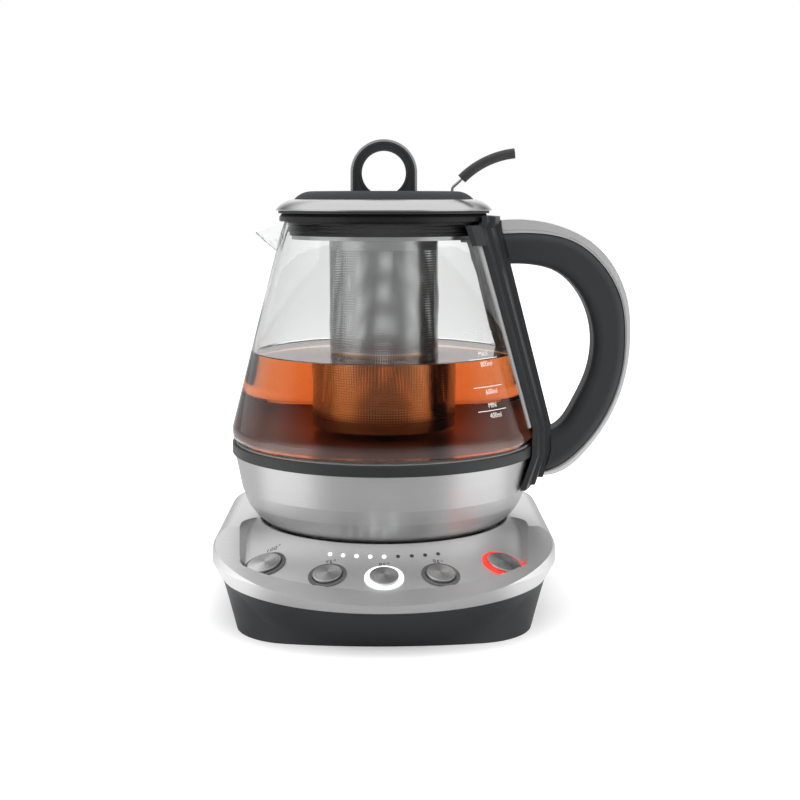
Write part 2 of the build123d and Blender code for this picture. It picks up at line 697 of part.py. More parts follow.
def heater_plate():
    """Steel plate that closes the jug's bottom."""
    top, inner = HEATER_Z + HEATER_T, HEATER_R - HEATER_T
    plate = turned(
        (0, HEATER_Z),
        (inner, HEATER_Z),
        (inner, 81.4),
        (HEATER_R, 81.4),
        (HEATER_R, top),
        (0, top),
    )
    return plate - post(PROBE_X, PROBE_Y, PROBE_R, 80, 90)


def heating_element():
    """Tubular element under the plate, open at the back for the probe, with two terminals."""
    radius, rod = 46.0, 3.2
    z = HEATER_Z - rod
    path = Pos(0, 0, z) * CenterArc((0, 0), radius, -235, 290)
    ends = [path @ 0, path @ 1]
    body = sweep(Plane(origin=path @ 0, z_dir=path % 0) * Circle(rod), path)
    for end in ends:
        body = body + post(end.X, end.Y, 2.0, z - 14, z)
    return body


def temperature_probe():
    """Domed probe that stands through the heater plate."""
    probe = post(PROBE_X, PROBE_Y, PROBE_R, 76, 93)
    return fillet(probe.faces().sort_by(Axis.Z)[-1].edges(), PROBE_R - 0.4)


# ---------------------------------------------------------------- handle


def strap_line(offset, low_z, neck_r):
    """Points down the jug's side, at a distance from it: neck, waist, shoulder, bowl."""
    (shoulder_r, shoulder_z), (foot_r, foot_z) = STRAP_SHOULDER, STRAP_FOOT
    slope = (shoulder_r - foot_r) / (shoulder_z - foot_z)
    return [
        (neck_r, NECK_Z),
        (glass_r(JOGGLE_Z) + offset, JOGGLE_Z),
        (glass_r(GLASS_WIDE_Z) + 0.35 + offset, GLASS_WIDE_Z),
        (shoulder_r + offset, shoulder_z),
        (foot_r + (low_z - foot_z) * slope + offset, low_z),
    ]


def spine_line():
    """Outer face of the spine, which the grip stands on."""
    offset = PAD_T + SADDLE_T + FRAME_T + SPINE_T
    return strap_line(offset, SPINE_FOOT_Z, NECK_CLEAR_R + 2 * HUMP_T + HUMP_GAP)


def strap_layer(inner, outer, hump_r, top, low_z):
    """One layer of the strap, turned all round the jug, with a hump that clears the lid."""
    inside, outside = strap_line(inner, low_z, hump_r), strap_line(outer, low_z, hump_r + HUMP_T)
    return turned((hump_r, top), (hump_r + HUMP_T, top), *outside, *reversed(inside))


def strap_pad():
    """Silicone pad between the glass and the strap."""
    top, low = JOGGLE_Z, GLASS_WIDE_Z + 1.0
    ring = turned(
        (glass_r(top), top),
        (glass_r(top) + PAD_T - 0.02, top),
        (glass_r(low) + PAD_T - 0.02, low),
        (glass_r(low), low),
    )
    return ring & slab(PAD_HALF_WIDTH, 40, 220)


def handle_saddle():
    """Inner layer of the strap with two lugs that hug the neck."""
    layer = strap_layer(PAD_T, PAD_T + SADDLE_T, NECK_CLEAR_R, HANDLE_TOP_Z, STRAP_FOOT[1])
    side = [
        (SADDLE_HALF_WIDTH, HANDLE_TOP_Z + 1),
        (SADDLE_HALF_WIDTH, GLASS_WIDE_Z),
        (SADDLE_FOOT_HALF_WIDTH, STRAP_FOOT[1]),
        (SADDLE_FOOT_HALF_WIDTH, STRAP_FOOT[1] - 1),
    ]
    band = make_face(Polyline(*side, *[(-y, z) for y, z in reversed(side)], close=True))
    layer = layer & Pos(40, 0, 0) * extrude(Plane.YZ * band, amount=COLLAR_R)
    lug_low, lug_high = 186.8, 197.0
    near, far = PAD_T + 0.3, PAD_T + SADDLE_T - 0.2
    lug = turned(
        (glass_r(lug_low) + near, lug_low),
        (glass_r(lug_low) + far, lug_low),
        (glass_r(lug_high) + far, lug_high),
        (glass_r(lug_high) + near, lug_high),
    )
    saddle = layer + (lug & slab(LUG_HALF_WIDTH, 40, 220))
    for z in BOWL_SCREW_ZS:
        saddle = saddle - Pos(BOWL_TOP_R - 1.2, 0, z) * Rot(0, 90, 0) * Cylinder(SCREW_R, 24)
    return saddle


def handle_frame():
    """Outer layers of the strap: a curved frame and the flat spine that the grip joins."""
    near = PAD_T + SADDLE_T
    hump_r = NECK_CLEAR_R + HUMP_T + HUMP_GAP
    layer = strap_layer(near, near + FRAME_T, hump_r, HANDLE_TOP_Z - 0.2, FRAME_FOOT_Z)
    layer = layer & slab(FRAME_HALF_WIDTH, 40, 220)
    inside = strap_line(near + 0.9, SPINE_FOOT_Z, hump_r + 0.9)
    spine = make_face(Polyline(*inside, *reversed(spine_line()), close=True))
    spine = extrude(Plane.XZ * spine, amount=SPINE_HALF_WIDTH, both=True)
    frame = layer + spine
    for z in BOWL_SCREW_ZS:
        frame = frame - Pos(BOWL_TOP_R - 4.2, 0, z) * Rot(0, 90, 0) * Cylinder(SCREW_R - 0.3, 19)
    return frame


def spine_x(z):
    """Outer face of the spine at a height."""
    line = spine_line()
    for (x1, z1), (x2, z2) in zip(line, line[1:]):
        if z1 >= z >= z2:
            return x1 + (x2 - x1) * (z1 - z) / (z1 - z2)
    return line[0][0] + (z - NECK_Z) * -GLASS_TAPER


def between(first, second, share):
    """Point part of the way from one point to another."""
    return tuple(a + (b - a) * share for a, b in zip(first, second))


def beyond_glass(points):
    """Points of the handle's line, moved out to the widest glass."""
    return [(GLASS_WIDE_R + x, z) for x, z in points]


def edge_points(share):
    """Edge between the grip's outer edge (0) and the band's outer edge (1)."""
    grip, band = beyond_glass(GRIP_EDGE), beyond_glass(BAND_EDGE)
    inner = [(spine_x(GRIP_TOP_Z), GRIP_TOP_Z), *grip, (spine_x(GRIP_FOOT_Z), GRIP_FOOT_Z)]
    outer = [(spine_x(NECK_Z), BAND_TOP_Z), *band, (spine_x(BAND_FOOT_Z), BAND_FOOT_Z)]
    return [between(a, b, share) for a, b in zip(inner, outer)]


def handle_grip():
    """Dark C-shaped grip with rounded long edges."""
    outer = edge_points(0.0)
    top, foot = (spine_x(LOOP_TOP_Z), LOOP_TOP_Z), (spine_x(LOOP_FOOT_Z), LOOP_FOOT_Z)
    corner = spine_line()[3]
    outline = Curve() + [
        Spline(*outer),
        Line(outer[-1], corner),
        Line(corner, foot),
        Spline(foot, *reversed(beyond_glass(LOOP_EDGE)), top),
        Line(top, outer[0]),
    ]
    grip = extrude(Plane.XZ * make_face(outline), amount=GRIP_HALF_WIDTH, both=True)
    long_edges = grip.edges().filter_by(GeomType.BSPLINE)
    return fillet(long_edges, GRIP_ROUND_R)


def strip(first, last, half_width):
    """Strip that follows the handle's outside between two edges."""
    inner, outer = edge_points(first), edge_points(last)
    outline = Curve() + [Spline(*inner), Line(inner[-1], outer[-1]), Spline(*outer), Line(outer[0], inner[0])]
    return extrude(Plane.XZ * make_face(outline), amount=half_width, both=True)


def handle_screws():
    """Two screws from inside the bowl into the strap."""
    shape = lambda z: (
        Pos(BOWL_TOP_R - 1.2, 0, z) * Rot(0, 90, 0) * Cylinder(SCREW_R - 0.3, 10)
        + Pos(BOWL_TOP_R - 6.8, 0, z) * Rot(0, 90, 0) * Cylinder(SCREW_HEAD_R, 1.2)
    )
    return [shape(z) for z in BOWL_SCREW_ZS]


# ---------------------------------------------------------------- infuser

def infuser_tube():
    """Steel strainer tube; its perforation is a finish, the solid is the plain wall."""
    return tube(TUBE_R, TUBE_R - TUBE_WALL, TUBE_LOW_Z, TUBE_TOP_Z)


def infuser_floor():
    """Steel bottom of the strainer, pressed into the tube."""
    r, low = TUBE_R - TUBE_WALL, TUBE_LOW_Z
    lip, top, skin = low + FLOOR_LIP_H, low + SHEET_T, r - SHEET_T
    return turned((0, low), (r, low), (r, lip), (skin, lip), (skin, top), (0, top))


def neck_r(z):
    """Inner radius of the glass neck."""
    return glass_r(z) - GLASS_WALL


def infuser_flange():
    """Steel flange that joins the tube to the seal."""
    return turned(
        (TUBE_R, TUBE_TOP_Z - 1.0),
        (SEAL_BODY_R - 1.0, TUBE_TOP_Z - 1.0),
        (SEAL_BODY_R - 1.0, TUBE_TOP_Z + 3.0),
        (SEAL_BODY_R - 2.0, TUBE_TOP_Z + 3.0),
        (SEAL_BODY_R - 2.0, TUBE_TOP_Z),
        (TUBE_R, TUBE_TOP_Z),
    )


def infuser_seal():
    """Dark collar that hangs on the glass rim, with two fins in the neck and a way out to the beak."""
    low = TUBE_TOP_Z + 1.0
    fin_r = neck_r(GLASS_TOP_Z) - FACE_GAP
    body = turned(
        (SEAL_BORE_R, TUBE_TOP_Z + 0.0),
        (SEAL_BODY_R - 2.0, TUBE_TOP_Z + 0.0),
        (SEAL_BODY_R - 2.0, TUBE_TOP_Z + 3.0),
        (SEAL_BODY_R - 1.0, TUBE_TOP_Z + 3.0),
        (SEAL_BODY_R - 1.0, low),
        (SEAL_BODY_R, low),
        (SEAL_BODY_R, 193.0),
        (fin_r, 193.6),
        (fin_r, 195.0),
        (SEAL_BODY_R, 195.3),
        (SEAL_BODY_R, 196.3),
        (fin_r, 196.9),
        (fin_r, GLASS_TOP_Z),
        (SEAL_FLANGE_R, GLASS_TOP_Z),
        (SEAL_FLANGE_R, GLASS_TOP_Z + 2.2),
        (SEAL_FLANGE_R - 1.4, LID_SEAT_Z),
        (SEAL_BORE_R, LID_SEAT_Z),
    )
    notch = Pos(-SEAL_BODY_R - 0.4, 0, 191.0) * Box(10, 20, 15.8)
    return body - (notch - disc(SEAL_BORE_R + 2.0, 180, 200))


# ---------------------------------------------------------------- lid


def knob_holes(radius):
    """Holes for the knob's two screws, through the lid."""
    holes = [post(x, 0, radius, LID_DECK_Z - 5, DISC_TOP_Z + 6) for x in (-KNOB_SCREW_X, KNOB_SCREW_X)]
    return holes[0] + holes[1]


def lid_base():
    """Dark pan of the lid: a flange on the seal, a plug in its bore and a deck under the disc."""
    plug_r = SEAL_BORE_R - FACE_GAP
    pan = turned(
        (0, LID_DECK_Z - 1.6),
        (plug_r - 2.0, LID_DECK_Z - 1.6),
        (plug_r - 2.0, 195.5),
        (plug_r, 195.5),
        (plug_r, LID_SEAT_Z),
        (LID_R - 1.3, LID_SEAT_Z),
        (LID_R - 1.3, LID_SEAT_Z + 1.4),
        (RIM_TOP_R - 1.5, LID_DECK_Z),
        (0, LID_DECK_Z),
    )
    return pan - knob_holes(SCREW_R)


def lid_seal():
    """Soft ring on the lid's plug."""
    plug_r = SEAL_BORE_R - FACE_GAP
    return turned((plug_r - 2.0, 194.0), (plug_r, 194.0), (plug_r, 195.5), (plug_r - 2.0, 195.5))


def lid_rim():
    """Polished sloping ring round the lid."""
    outer_z = LID_SEAT_Z + 1.4
    shell = turned_face(
        ThreePointArc((LID_R, outer_z + 0.6), (LID_R - 3.9, 208.4), (RIM_TOP_R, RIM_TOP_Z)),
        Line((RIM_TOP_R, RIM_TOP_Z), (RIM_TOP_R, LID_DECK_Z)),
        Line((RIM_TOP_R, LID_DECK_Z), (RIM_TOP_R - 1.5, LID_DECK_Z)),
        Line((RIM_TOP_R - 1.5, LID_DECK_Z), (LID_R - 1.3, outer_z)),
        Line((LID_R - 1.3, outer_z), (LID_R, outer_z)),
        Line((LID_R, outer_z), (LID_R, outer_z + 0.6)),
    )
    inner, low = RIM_TOP_R - 3, LID_DECK_Z
    return shell - turned((inner, low), (RIM_TOP_R, low), (RIM_TOP_R, low + 6), (inner, low + 6))


def lever_slot():
    """Opening in the disc that the lever's wire rises through."""
    return Pos(LEVER_X + 2.0, 0, LEVER_Z + 2.2) * Box(9.0, 2 * SLOT_HALF_WIDTH, 10.0)


def lid_disc():
    """Domed dark disc on top of the lid."""
    side = RIM_TOP_R - 0.4
    body = turned_face(
        Line((0, LID_DECK_Z), (side, LID_DECK_Z)),
        Line((side, LID_DECK_Z), (side, RIM_TOP_Z)),
        ThreePointArc((side, RIM_TOP_Z), (DISC_TOP_R + 5.3, 213.0), (DISC_TOP_R, DISC_TOP_Z)),
        Line((DISC_TOP_R, DISC_TOP_Z), (0, DISC_TOP_Z)),
        Line((0, DISC_TOP_Z), (0, LID_DECK_Z)),
    )
    pin_hole = Pos(LEVER_X, 0, LEVER_Z) * Rot(90, 0, 0) * Cylinder(LEVER_PIN_R, 12)
    return body - lever_slot() - pin_hole - knob_holes(SCREW_R)


def arch(radius, depth):
    """Upright arch over the lid, round at the top and straight below."""
    round_part = Pos(0, 0, KNOB_Z) * Rot(90, 0, 0) * Cylinder(radius, depth)
    leg_h = KNOB_Z - DISC_TOP_Z
    legs = Pos(0, 0, DISC_TOP_Z + leg_h / 2) * Box(2 * radius, depth, leg_h)
    above = Pos(0, 0, DISC_TOP_Z + 25) * Box(100, 100, 50)
    return (round_part + legs) & above


def knob_core():
    """Dark ring of the knob, with a shallow recess between its two raised edges."""
    hole = Pos(0, 0, KNOB_Z) * Rot(90, 0, 0) * Cylinder(KNOB_HOLE_R, 40)
    core = arch(KNOB_R, KNOB_DEPTH) - hole
    recess = arch(KNOB_R - 1.2, 0.9) - Pos(0, 0, KNOB_Z) * Rot(90, 0, 0) * Cylinder(KNOB_HOLE_R + 1.2, 40)
    core = core - Pos(0, KNOB_DEPTH / 2, 0) * recess - Pos(0, -KNOB_DEPTH / 2, 0) * recess
    return core - knob_holes(SCREW_R - 0.3)


def knob_band():
    """Steel band that wraps the knob's outside."""
    return arch(KNOB_R + KNOB_BAND_T, KNOB_DEPTH - 2.0) - arch(KNOB_R, KNOB_DEPTH)


def knob_screws():
    """Two screws from under the lid into the knob."""
    shape = lambda x: (
        post(x, 0, SCREW_R - 0.3, LID_DECK_Z - 1.6, DISC_TOP_Z + 6)
        + post(x, 0, SCREW_HEAD_R, LID_DECK_Z - 3.0, LID_DECK_Z - 1.6)
    )
    return [shape(x) for x in (-KNOB_SCREW_X, KNOB_SCREW_X)]


def lever_pin():
    """Axle of the lever in the disc."""
    return Pos(LEVER_X, 0, LEVER_Z) * Rot(90, 0, 0) * Cylinder(LEVER_PIN_R, 12)


def lever_wire():
    """Stiff wire with an eye round the pin, bent out towards the grip."""
    eye = Cylinder(2.3, 2.6) - Cylinder(LEVER_PIN_R + PIN_GAP, 4)
    eye = Pos(LEVER_X, 0, LEVER_Z) * Rot(90, 0, 0) * eye
    start, bend = (LEVER_X, LEVER_Z + 1.9), (LEVER_X - 0.1, LEVER_Z + 5.1)
    end = (GRIP_START[0] + 2.6, GRIP_START[1] + 2.0)
    path = Plane.XZ * FilletPolyline(start, bend, end, radius=3.0)
    wire = sweep(Plane(origin=path @ 0, z_dir=path % 0) * Circle(WIRE_R), path)
    return eye + wire


def lever_grip():
    """Soft thumb grip on the wire's end."""
    path = Plane.XZ * ThreePointArc(GRIP_START, GRIP_MIDDLE, GRIP_END)
    section = Plane(origin=path @ 0, x_dir=(0, 1, 0), z_dir=path % 0) * RectangleRounded(7.0, 5.3, 2.2)
    grip = sweep(section, path)
    return grip - lever_wire()


# ---------------------------------------------------------------- write the parts

def write_base():
    """Pieces that stay on the table."""
    keys = {name: key_parts(name) for name in KEY_ANGLES}
    save("control_panel", control_panel())
    save("base_housing", base_housing())
    save("bottom_cover", bottom_cover())
    save("bottom_screws", *bottom_screws())
    save("rubber_feet", *[post(x, y, FOOT_R, 0, PLATE_Z) for x, y in FOOT_PLACES])
    save("well_tray", well_tray())
    save("connector_plug", connector_plug())
    save("connector_springs", *connector_springs())
    save("power_board", power_board())
    save("board_pegs", *board_pegs())
    save("board_parts", *board_parts())
    save("switch_carrier", switch_carrier())
    save("cord_gland", cord_gland())
    save("light_ring_white", keys["85"][2])
    save("light_ring_red", keys["start"][2])
    save("light_rings_off", *[keys[name][2] for name in ("100", "75", "95")])
    save("indicators_on", *[lamp(index) for index in LAMPS_ON])
    save("indicators_off", *[lamp(index) for index in LAMPS_OFF])
    save("key_switches", *[parts[3] for parts in keys.values()])
    for name, parts in keys.items():
        save(f"key_{name}_cap", parts[0])
        save(f"key_{name}_stem", parts[1])


def save_placed(name, *solids):
    """Write a piece of the jug or the lid, moved up to the well's floor."""
    save(name, *[JUG_PLACE * solid for solid in solids])


def write_jug():
    """Pieces that lift off with the jug."""
    save_placed("steel_bowl", steel_bowl())
    save_placed("bowl_foot", bowl_foot())
    save_placed("jug_connector", jug_connector())
    save_placed("jug_contacts", *jug_contacts())
    save_placed("collar_ring", collar_ring())
    save_placed("plate_gasket", plate_gasket())
    save_placed("heater_plate", heater_plate())
    save_placed("heating_element", heating_element())
    save_placed("temperature_probe", temperature_probe())
    save_placed("glass_jug", glass_jug())
    save_placed("strap_pad", strap_pad())
    save_placed("handle_saddle", handle_saddle())
    save_placed("handle_frame", handle_frame())
    save_placed("handle_grip", handle_grip())
    save_placed("handle_trim", strip(0.0, TRIM_SHARE, BAND_HALF_WIDTH - 0.6))
    save_placed("handle_band", strip(TRIM_SHARE, 1.0, BAND_HALF_WIDTH))
    save_placed("handle_screws", *handle_screws())


def write_infuser_and_lid():
    """Pieces that come out of the jug's neck."""
    save_placed("infuser_tube", infuser_tube())
    save_placed("infuser_floor", infuser_floor())
    save_placed("infuser_flange", infuser_flange())
    save_placed("infuser_seal", infuser_seal())
    save_placed("lid_base", lid_base())
    save_placed("lid_seal", lid_seal())
    save_placed("lid_rim", lid_rim())
    save_placed("lid_disc", lid_disc())
    save_placed("knob_core", knob_core())
    save_placed("knob_band", knob_band())
    save_placed("knob_screws", *knob_screws())
    save_placed("lever_pin", lever_pin())
    save_placed("lever_wire", lever_wire())
    save_placed("lever_grip", lever_grip())


write_base()
write_jug()
write_infuser_and_lid()
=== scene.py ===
"""Finishes, tea, marks and stage for a glass tea maker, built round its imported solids."""

import math

import bmesh
import bpy
from bpy.props import FloatProperty, FloatVectorProperty, PointerProperty
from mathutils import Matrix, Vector
from mathutils.bvhtree import BVHTree


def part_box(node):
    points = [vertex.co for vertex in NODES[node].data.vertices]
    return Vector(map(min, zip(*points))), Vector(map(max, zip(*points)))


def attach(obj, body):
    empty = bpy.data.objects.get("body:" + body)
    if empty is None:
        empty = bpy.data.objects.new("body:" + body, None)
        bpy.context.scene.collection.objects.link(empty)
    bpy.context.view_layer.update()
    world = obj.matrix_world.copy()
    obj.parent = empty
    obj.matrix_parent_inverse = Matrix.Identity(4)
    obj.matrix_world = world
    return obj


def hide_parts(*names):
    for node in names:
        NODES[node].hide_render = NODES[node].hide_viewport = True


bl_info = {
    "name": "Glass Tea Maker",
    "version": (1, 0, 0),
    "blender": (4, 5, 0),
    "location": "3D View > Sidebar > Tea Maker",
    "description": "Gives a glass tea maker its finishes, its tea and its stage",
    "category": "Object",
}

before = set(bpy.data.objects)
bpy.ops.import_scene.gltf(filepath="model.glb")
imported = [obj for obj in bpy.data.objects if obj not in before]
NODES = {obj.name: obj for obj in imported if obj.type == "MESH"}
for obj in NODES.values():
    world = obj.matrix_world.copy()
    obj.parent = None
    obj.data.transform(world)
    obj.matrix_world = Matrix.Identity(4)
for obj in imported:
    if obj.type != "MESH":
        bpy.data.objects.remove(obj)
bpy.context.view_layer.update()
MM = 0.001

# The jug's cone, as the solids have it
GLASS_WIDE_R = 80.0
GLASS_WIDE_Z = 92.3
GLASS_TAPER = 0.2542
GLASS_WALL = 2.2

# The infuser's holes: tube radius, holes in a ring, hole radius as a share of the pitch, and the band they fill
TUBE_R = 28.7
HOLES_ROUND = 140
HOLE_SHARE = 0.34
HOLES_FROM, HOLES_TO = 0.0935, 0.1838

LIGHT_STEEL = (0.82, 0.82, 0.82)

# Numbers by the keys: words, angle and radius (mm) on the panel, turn
KEY_NUMBERS = (("100°", -48.0, 74.6, 6), ("75°", -19.9, 76.4, 4), ("85°", 0, 76.6, 0), ("95°", 20.0, 76.4, -4))

# Volume marks: height (mm), words, words above the line, pale or grey
VOLUME_MARKS = (
    (144.0, "1000ml", "MAX", "grey"), (131.5, "800ml", "MAX", "pale"),
    (118.0, "600ml", None, "pale"), (106.5, "400ml", "MIN", "pale"),
)

# What polished pieces mirror, as (place, brightness) stops: from the front (0) round to the back (1), or by height
ROUND_ABOUT = ((0.0, 0.42), (0.22, 0.48), (0.30, 1.0), (0.50, 1.0), (0.57, 0.6), (0.84, 0.65), (0.93, 1.0))
LOW_DOWN = ((0.08, 1.0), (0.26, 0.04))
OVERHEAD = ((0.32, 0.0), (0.62, 1.0))
BEHIND = ((0.84, 0.0), (0.95, 1.0))
# How much the floor is lifted by distance (m) from the middle, seen directly and through glass: far off it lifts the
# floor to even white, and near the middle it lifts less, which is painted shade round the base on top of the lamps'
# real shadow
FLOOR_LIFT = ((0.12, 0.0), (0.28, 0.5))
CLEAR_LIFT = ((0.12, 0.22), (0.40, 0.40))


def glass_radius(z):
    """Outer radius of the jug at a height, in millimetres."""
    return GLASS_WIDE_R - GLASS_TAPER * (z - GLASS_WIDE_Z)


# ---------------------------------------------------------------- properties


class TeaProperties(bpy.types.PropertyGroup):
    """What is in the jug."""

    level: FloatProperty(name="Level", description="Height of the tea's surface", default=0.1300, unit="LENGTH")
    colour: FloatVectorProperty(
        name="Colour", description="Colour that light keeps in the tea", subtype="COLOR", size=3, min=0, max=1,
        default=(0.87, 0.44, 0.02),
    )
    strength: FloatProperty(name="Strength", description="How fast the tea takes light away, per metre", default=29.0)


class FinishProperties(bpy.types.PropertyGroup):
    """Colours of the steel and of the dark parts."""

    steel: FloatVectorProperty(
        name="Steel", description="Colour of the brushed steel", subtype="COLOR", size=3, min=0, max=1,
        default=(0.64, 0.64, 0.64),
    )
    dark: FloatVectorProperty(
        name="Dark plastic", description="Colour of the charcoal plastic", subtype="COLOR", size=3, min=0, max=1,
        default=(0.030, 0.031, 0.033),
    )
    grip: FloatVectorProperty(
        name="Grip", description="Colour of the handle and the lid's disc", subtype="COLOR", size=3, min=0, max=1,
        default=(0.030, 0.031, 0.033),
    )
    lamp: FloatProperty(name="Lamp strength", description="Brightness of the lit rings and lights", default=0.95)


class StageProperties(bpy.types.PropertyGroup):
    """Light and background."""

    fill: FloatProperty(name="Fill", description="Strength of the light from all round", default=0.55)
    key: FloatProperty(name="Side lamps", description="Power of each side lamp in watts", default=5.0)
    top: FloatProperty(name="Top lamp", description="Power of the lamp over the object in watts", default=6.0)


# ---------------------------------------------------------------- materials: shared node groups


def new_group(name, inputs, outputs):
    """Empty node group with named sockets; each is (name, kind, default)."""
    group = bpy.data.node_groups.new(name, "ShaderNodeTree")
    for label, kind, value in inputs:
        socket = group.interface.new_socket(label, in_out="INPUT", socket_type=kind)
        if value is not None:
            socket.default_value = value
    for label, kind in outputs:
        group.interface.new_socket(label, in_out="OUTPUT", socket_type=kind)
    return group, group.nodes.new("NodeGroupInput"), group.nodes.new("NodeGroupOutput")


def maths(tree, operation, first, second=None):
    """Math node; each operand is a socket or a number."""
    node = tree.nodes.new("ShaderNodeMath")
    node.operation = operation
    for place, value in enumerate((first, second)):
        if isinstance(value, bpy.types.NodeSocket):
            tree.links.new(value, node.inputs[place])
        elif value is not None:
            node.inputs[place].default_value = value
    return node.outputs[0]


def noise(tree, vector, scale, detail=3.0, roughness=0.55):
    """Noise value on a vector socket."""
    node = tree.nodes.new("ShaderNodeTexNoise")
    tree.links.new(vector, node.inputs["Vector"])
    for label, value in (("Scale", scale), ("Detail", detail), ("Roughness", roughness)):
        if isinstance(value, bpy.types.NodeSocket):
            tree.links.new(value, node.inputs[label])
        else:
            node.inputs[label].default_value = value
    return node.outputs["Fac"]


def round_group():
    """Position turned into angle, radius and height about the local Z axis."""
    tree, given, out = new_group(
        "round_position",
        [("Vector", "NodeSocketVector", None)],
        [
            ("Vector", "NodeSocketVector"), ("Angle", "NodeSocketFloat"),
            ("Radius", "NodeSocketFloat"), ("Height", "NodeSocketFloat"),
        ],
    )
    parts = tree.nodes.new("ShaderNodeSeparateXYZ")
    tree.links.new(given.outputs["Vector"], parts.inputs[0])
    x, y, z = parts.outputs
    angle = maths(tree, "ARCTAN2", y, x)
    radius = maths(tree, "SQRT", maths(tree, "ADD", maths(tree, "MULTIPLY", x, x), maths(tree, "MULTIPLY", y, y)))
    whole = tree.nodes.new("ShaderNodeCombineXYZ")
    for place, value in enumerate((angle, radius, z)):
        tree.links.new(value, whole.inputs[place])
    tree.links.new(whole.outputs[0], out.inputs["Vector"])
    tree.links.new(angle, out.inputs["Angle"])
    tree.links.new(radius, out.inputs["Radius"])
    tree.links.new(z, out.inputs["Height"])
    return tree


def brush_group():
    """Fine brush lines on stretched coordinates: a shade round 1 and a height."""
    tree, given, out = new_group(
        "brush_lines",
        [("Vector", "NodeSocketVector", None), ("Depth", "NodeSocketFloat", 0.1)],
        [("Shade", "NodeSocketFloat"), ("Height", "NodeSocketFloat")],
    )
    fine = noise(tree, given.outputs["Vector"], 1.0, 4.0, 0.65)
    broad = noise(tree, given.outputs["Vector"], 0.23, 2.0)
    both = maths(tree, "ADD", maths(tree, "MULTIPLY", fine, 0.7), maths(tree, "MULTIPLY", broad, 0.3))
    swing = maths(tree, "MULTIPLY", maths(tree, "SUBTRACT", both, 0.5), given.outputs["Depth"])
    tree.links.new(maths(tree, "ADD", swing, 1.0), out.inputs["Shade"])
    tree.links.new(both, out.inputs["Height"])
    return tree


def grain_group():
    """Moulded grain with slow unevenness: a shade round 1, a roughness shift and a height."""
    tree, given, out = new_group(
        "moulded_grain",
        [("Vector", "NodeSocketVector", None), ("Size", "NodeSocketFloat", 1500.0), ("Depth", "NodeSocketFloat", 0.2)],
        [("Shade", "NodeSocketFloat"), ("Unevenness", "NodeSocketFloat"), ("Height", "NodeSocketFloat")],
    )
    fine = noise(tree, given.outputs["Vector"], given.outputs["Size"], 2.0)
    slow = noise(tree, given.outputs["Vector"], 38.0, 3.0)
    both = maths(tree, "ADD", maths(tree, "MULTIPLY", fine, 0.6), maths(tree, "MULTIPLY", slow, 0.4))
    swing = maths(tree, "MULTIPLY", maths(tree, "SUBTRACT", both, 0.5), given.outputs["Depth"])
    tree.links.new(maths(tree, "ADD", swing, 1.0), out.inputs["Shade"])
    drift = maths(tree, "MULTIPLY", maths(tree, "SUBTRACT", slow, 0.5), given.outputs["Depth"])
    tree.links.new(drift, out.inputs["Unevenness"])
    tree.links.new(fine, out.inputs["Height"])
    return tree


GROUPS = {}


def group_node(tree, name, **values):
    """Place one of the shared groups in a material."""
    makers = {"round_position": round_group, "brush_lines": brush_group, "moulded_grain": grain_group}
    if name not in GROUPS:
        GROUPS[name] = makers[name]()
    node = tree.nodes.new("ShaderNodeGroup")
    node.node_tree = GROUPS[name]
    for label, value in values.items():
        if isinstance(value, bpy.types.NodeSocket):
            tree.links.new(value, node.inputs[label])
        else:
            node.inputs[label].default_value = value
    return node


# ---------------------------------------------------------------- materials


def new_material(name):
    """Material with its shader and the object's own coordinates."""
    material = bpy.data.materials.new(name)
    material.use_nodes = True
    tree = material.node_tree
    shader = tree.nodes["Principled BSDF"]
    where = tree.nodes.new("ShaderNodeTexCoord").outputs["Object"]
    return material, tree, shader, where


def set_shader(shader, **values):
    """Set plain values on the shader's own sockets."""
    for label, value in values.items():
        shader.inputs[label.replace("_", " ")].default_value = value


def mapped(tree, vector, scale=(1, 1, 1), shift=(0, 0, 0)):
    """Mapping node on a vector."""
    node = tree.nodes.new("ShaderNodeMapping")
    node.inputs["Location"].default_value = shift
    node.inputs["Scale"].default_value = scale
    tree.links.new(vector, node.inputs["Vector"])
    return node.outputs[0]


def tint(tree, shader, colour, shade):
    """Base colour varied by a shade socket."""
    node = tree.nodes.new("ShaderNodeMix")
    node.data_type = "RGBA"
    node.blend_type = "MULTIPLY"
    node.inputs["Factor"].default_value = 1.0
    node.inputs["A"].default_value = (*colour, 1)
    tree.links.new(shade, node.inputs["B"])
    tree.links.new(node.outputs["Result"], shader.inputs["Base Color"])


def bump(tree, shader, height, distance, strength=1.0):
    """Bump from a height socket."""
    node = tree.nodes.new("ShaderNodeBump")
    node.inputs["Strength"].default_value = strength
    node.inputs["Distance"].default_value = distance
    tree.links.new(height, node.inputs["Height"])
    tree.links.new(node.outputs[0], shader.inputs["Normal"])


def straight_steel(name, colour, roughness=0.33, stretch=(60, 2600, 2600), depth=0.16, anisotropy=0.0):
    """Steel brushed in straight lines."""
    material, tree, shader, where = new_material(name)
    set_shader(shader, Metallic=1.0, Roughness=roughness, Anisotropic=anisotropy)
    lines = group_node(tree, "brush_lines", Vector=mapped(tree, where, stretch), Depth=depth)
    tint(tree, shader, colour, lines.outputs["Shade"])
    tree.links.new(maths(tree, "MULTIPLY", lines.outputs["Shade"], roughness), shader.inputs["Roughness"])
    bump(tree, shader, lines.outputs["Height"], 0.000012)
    return material


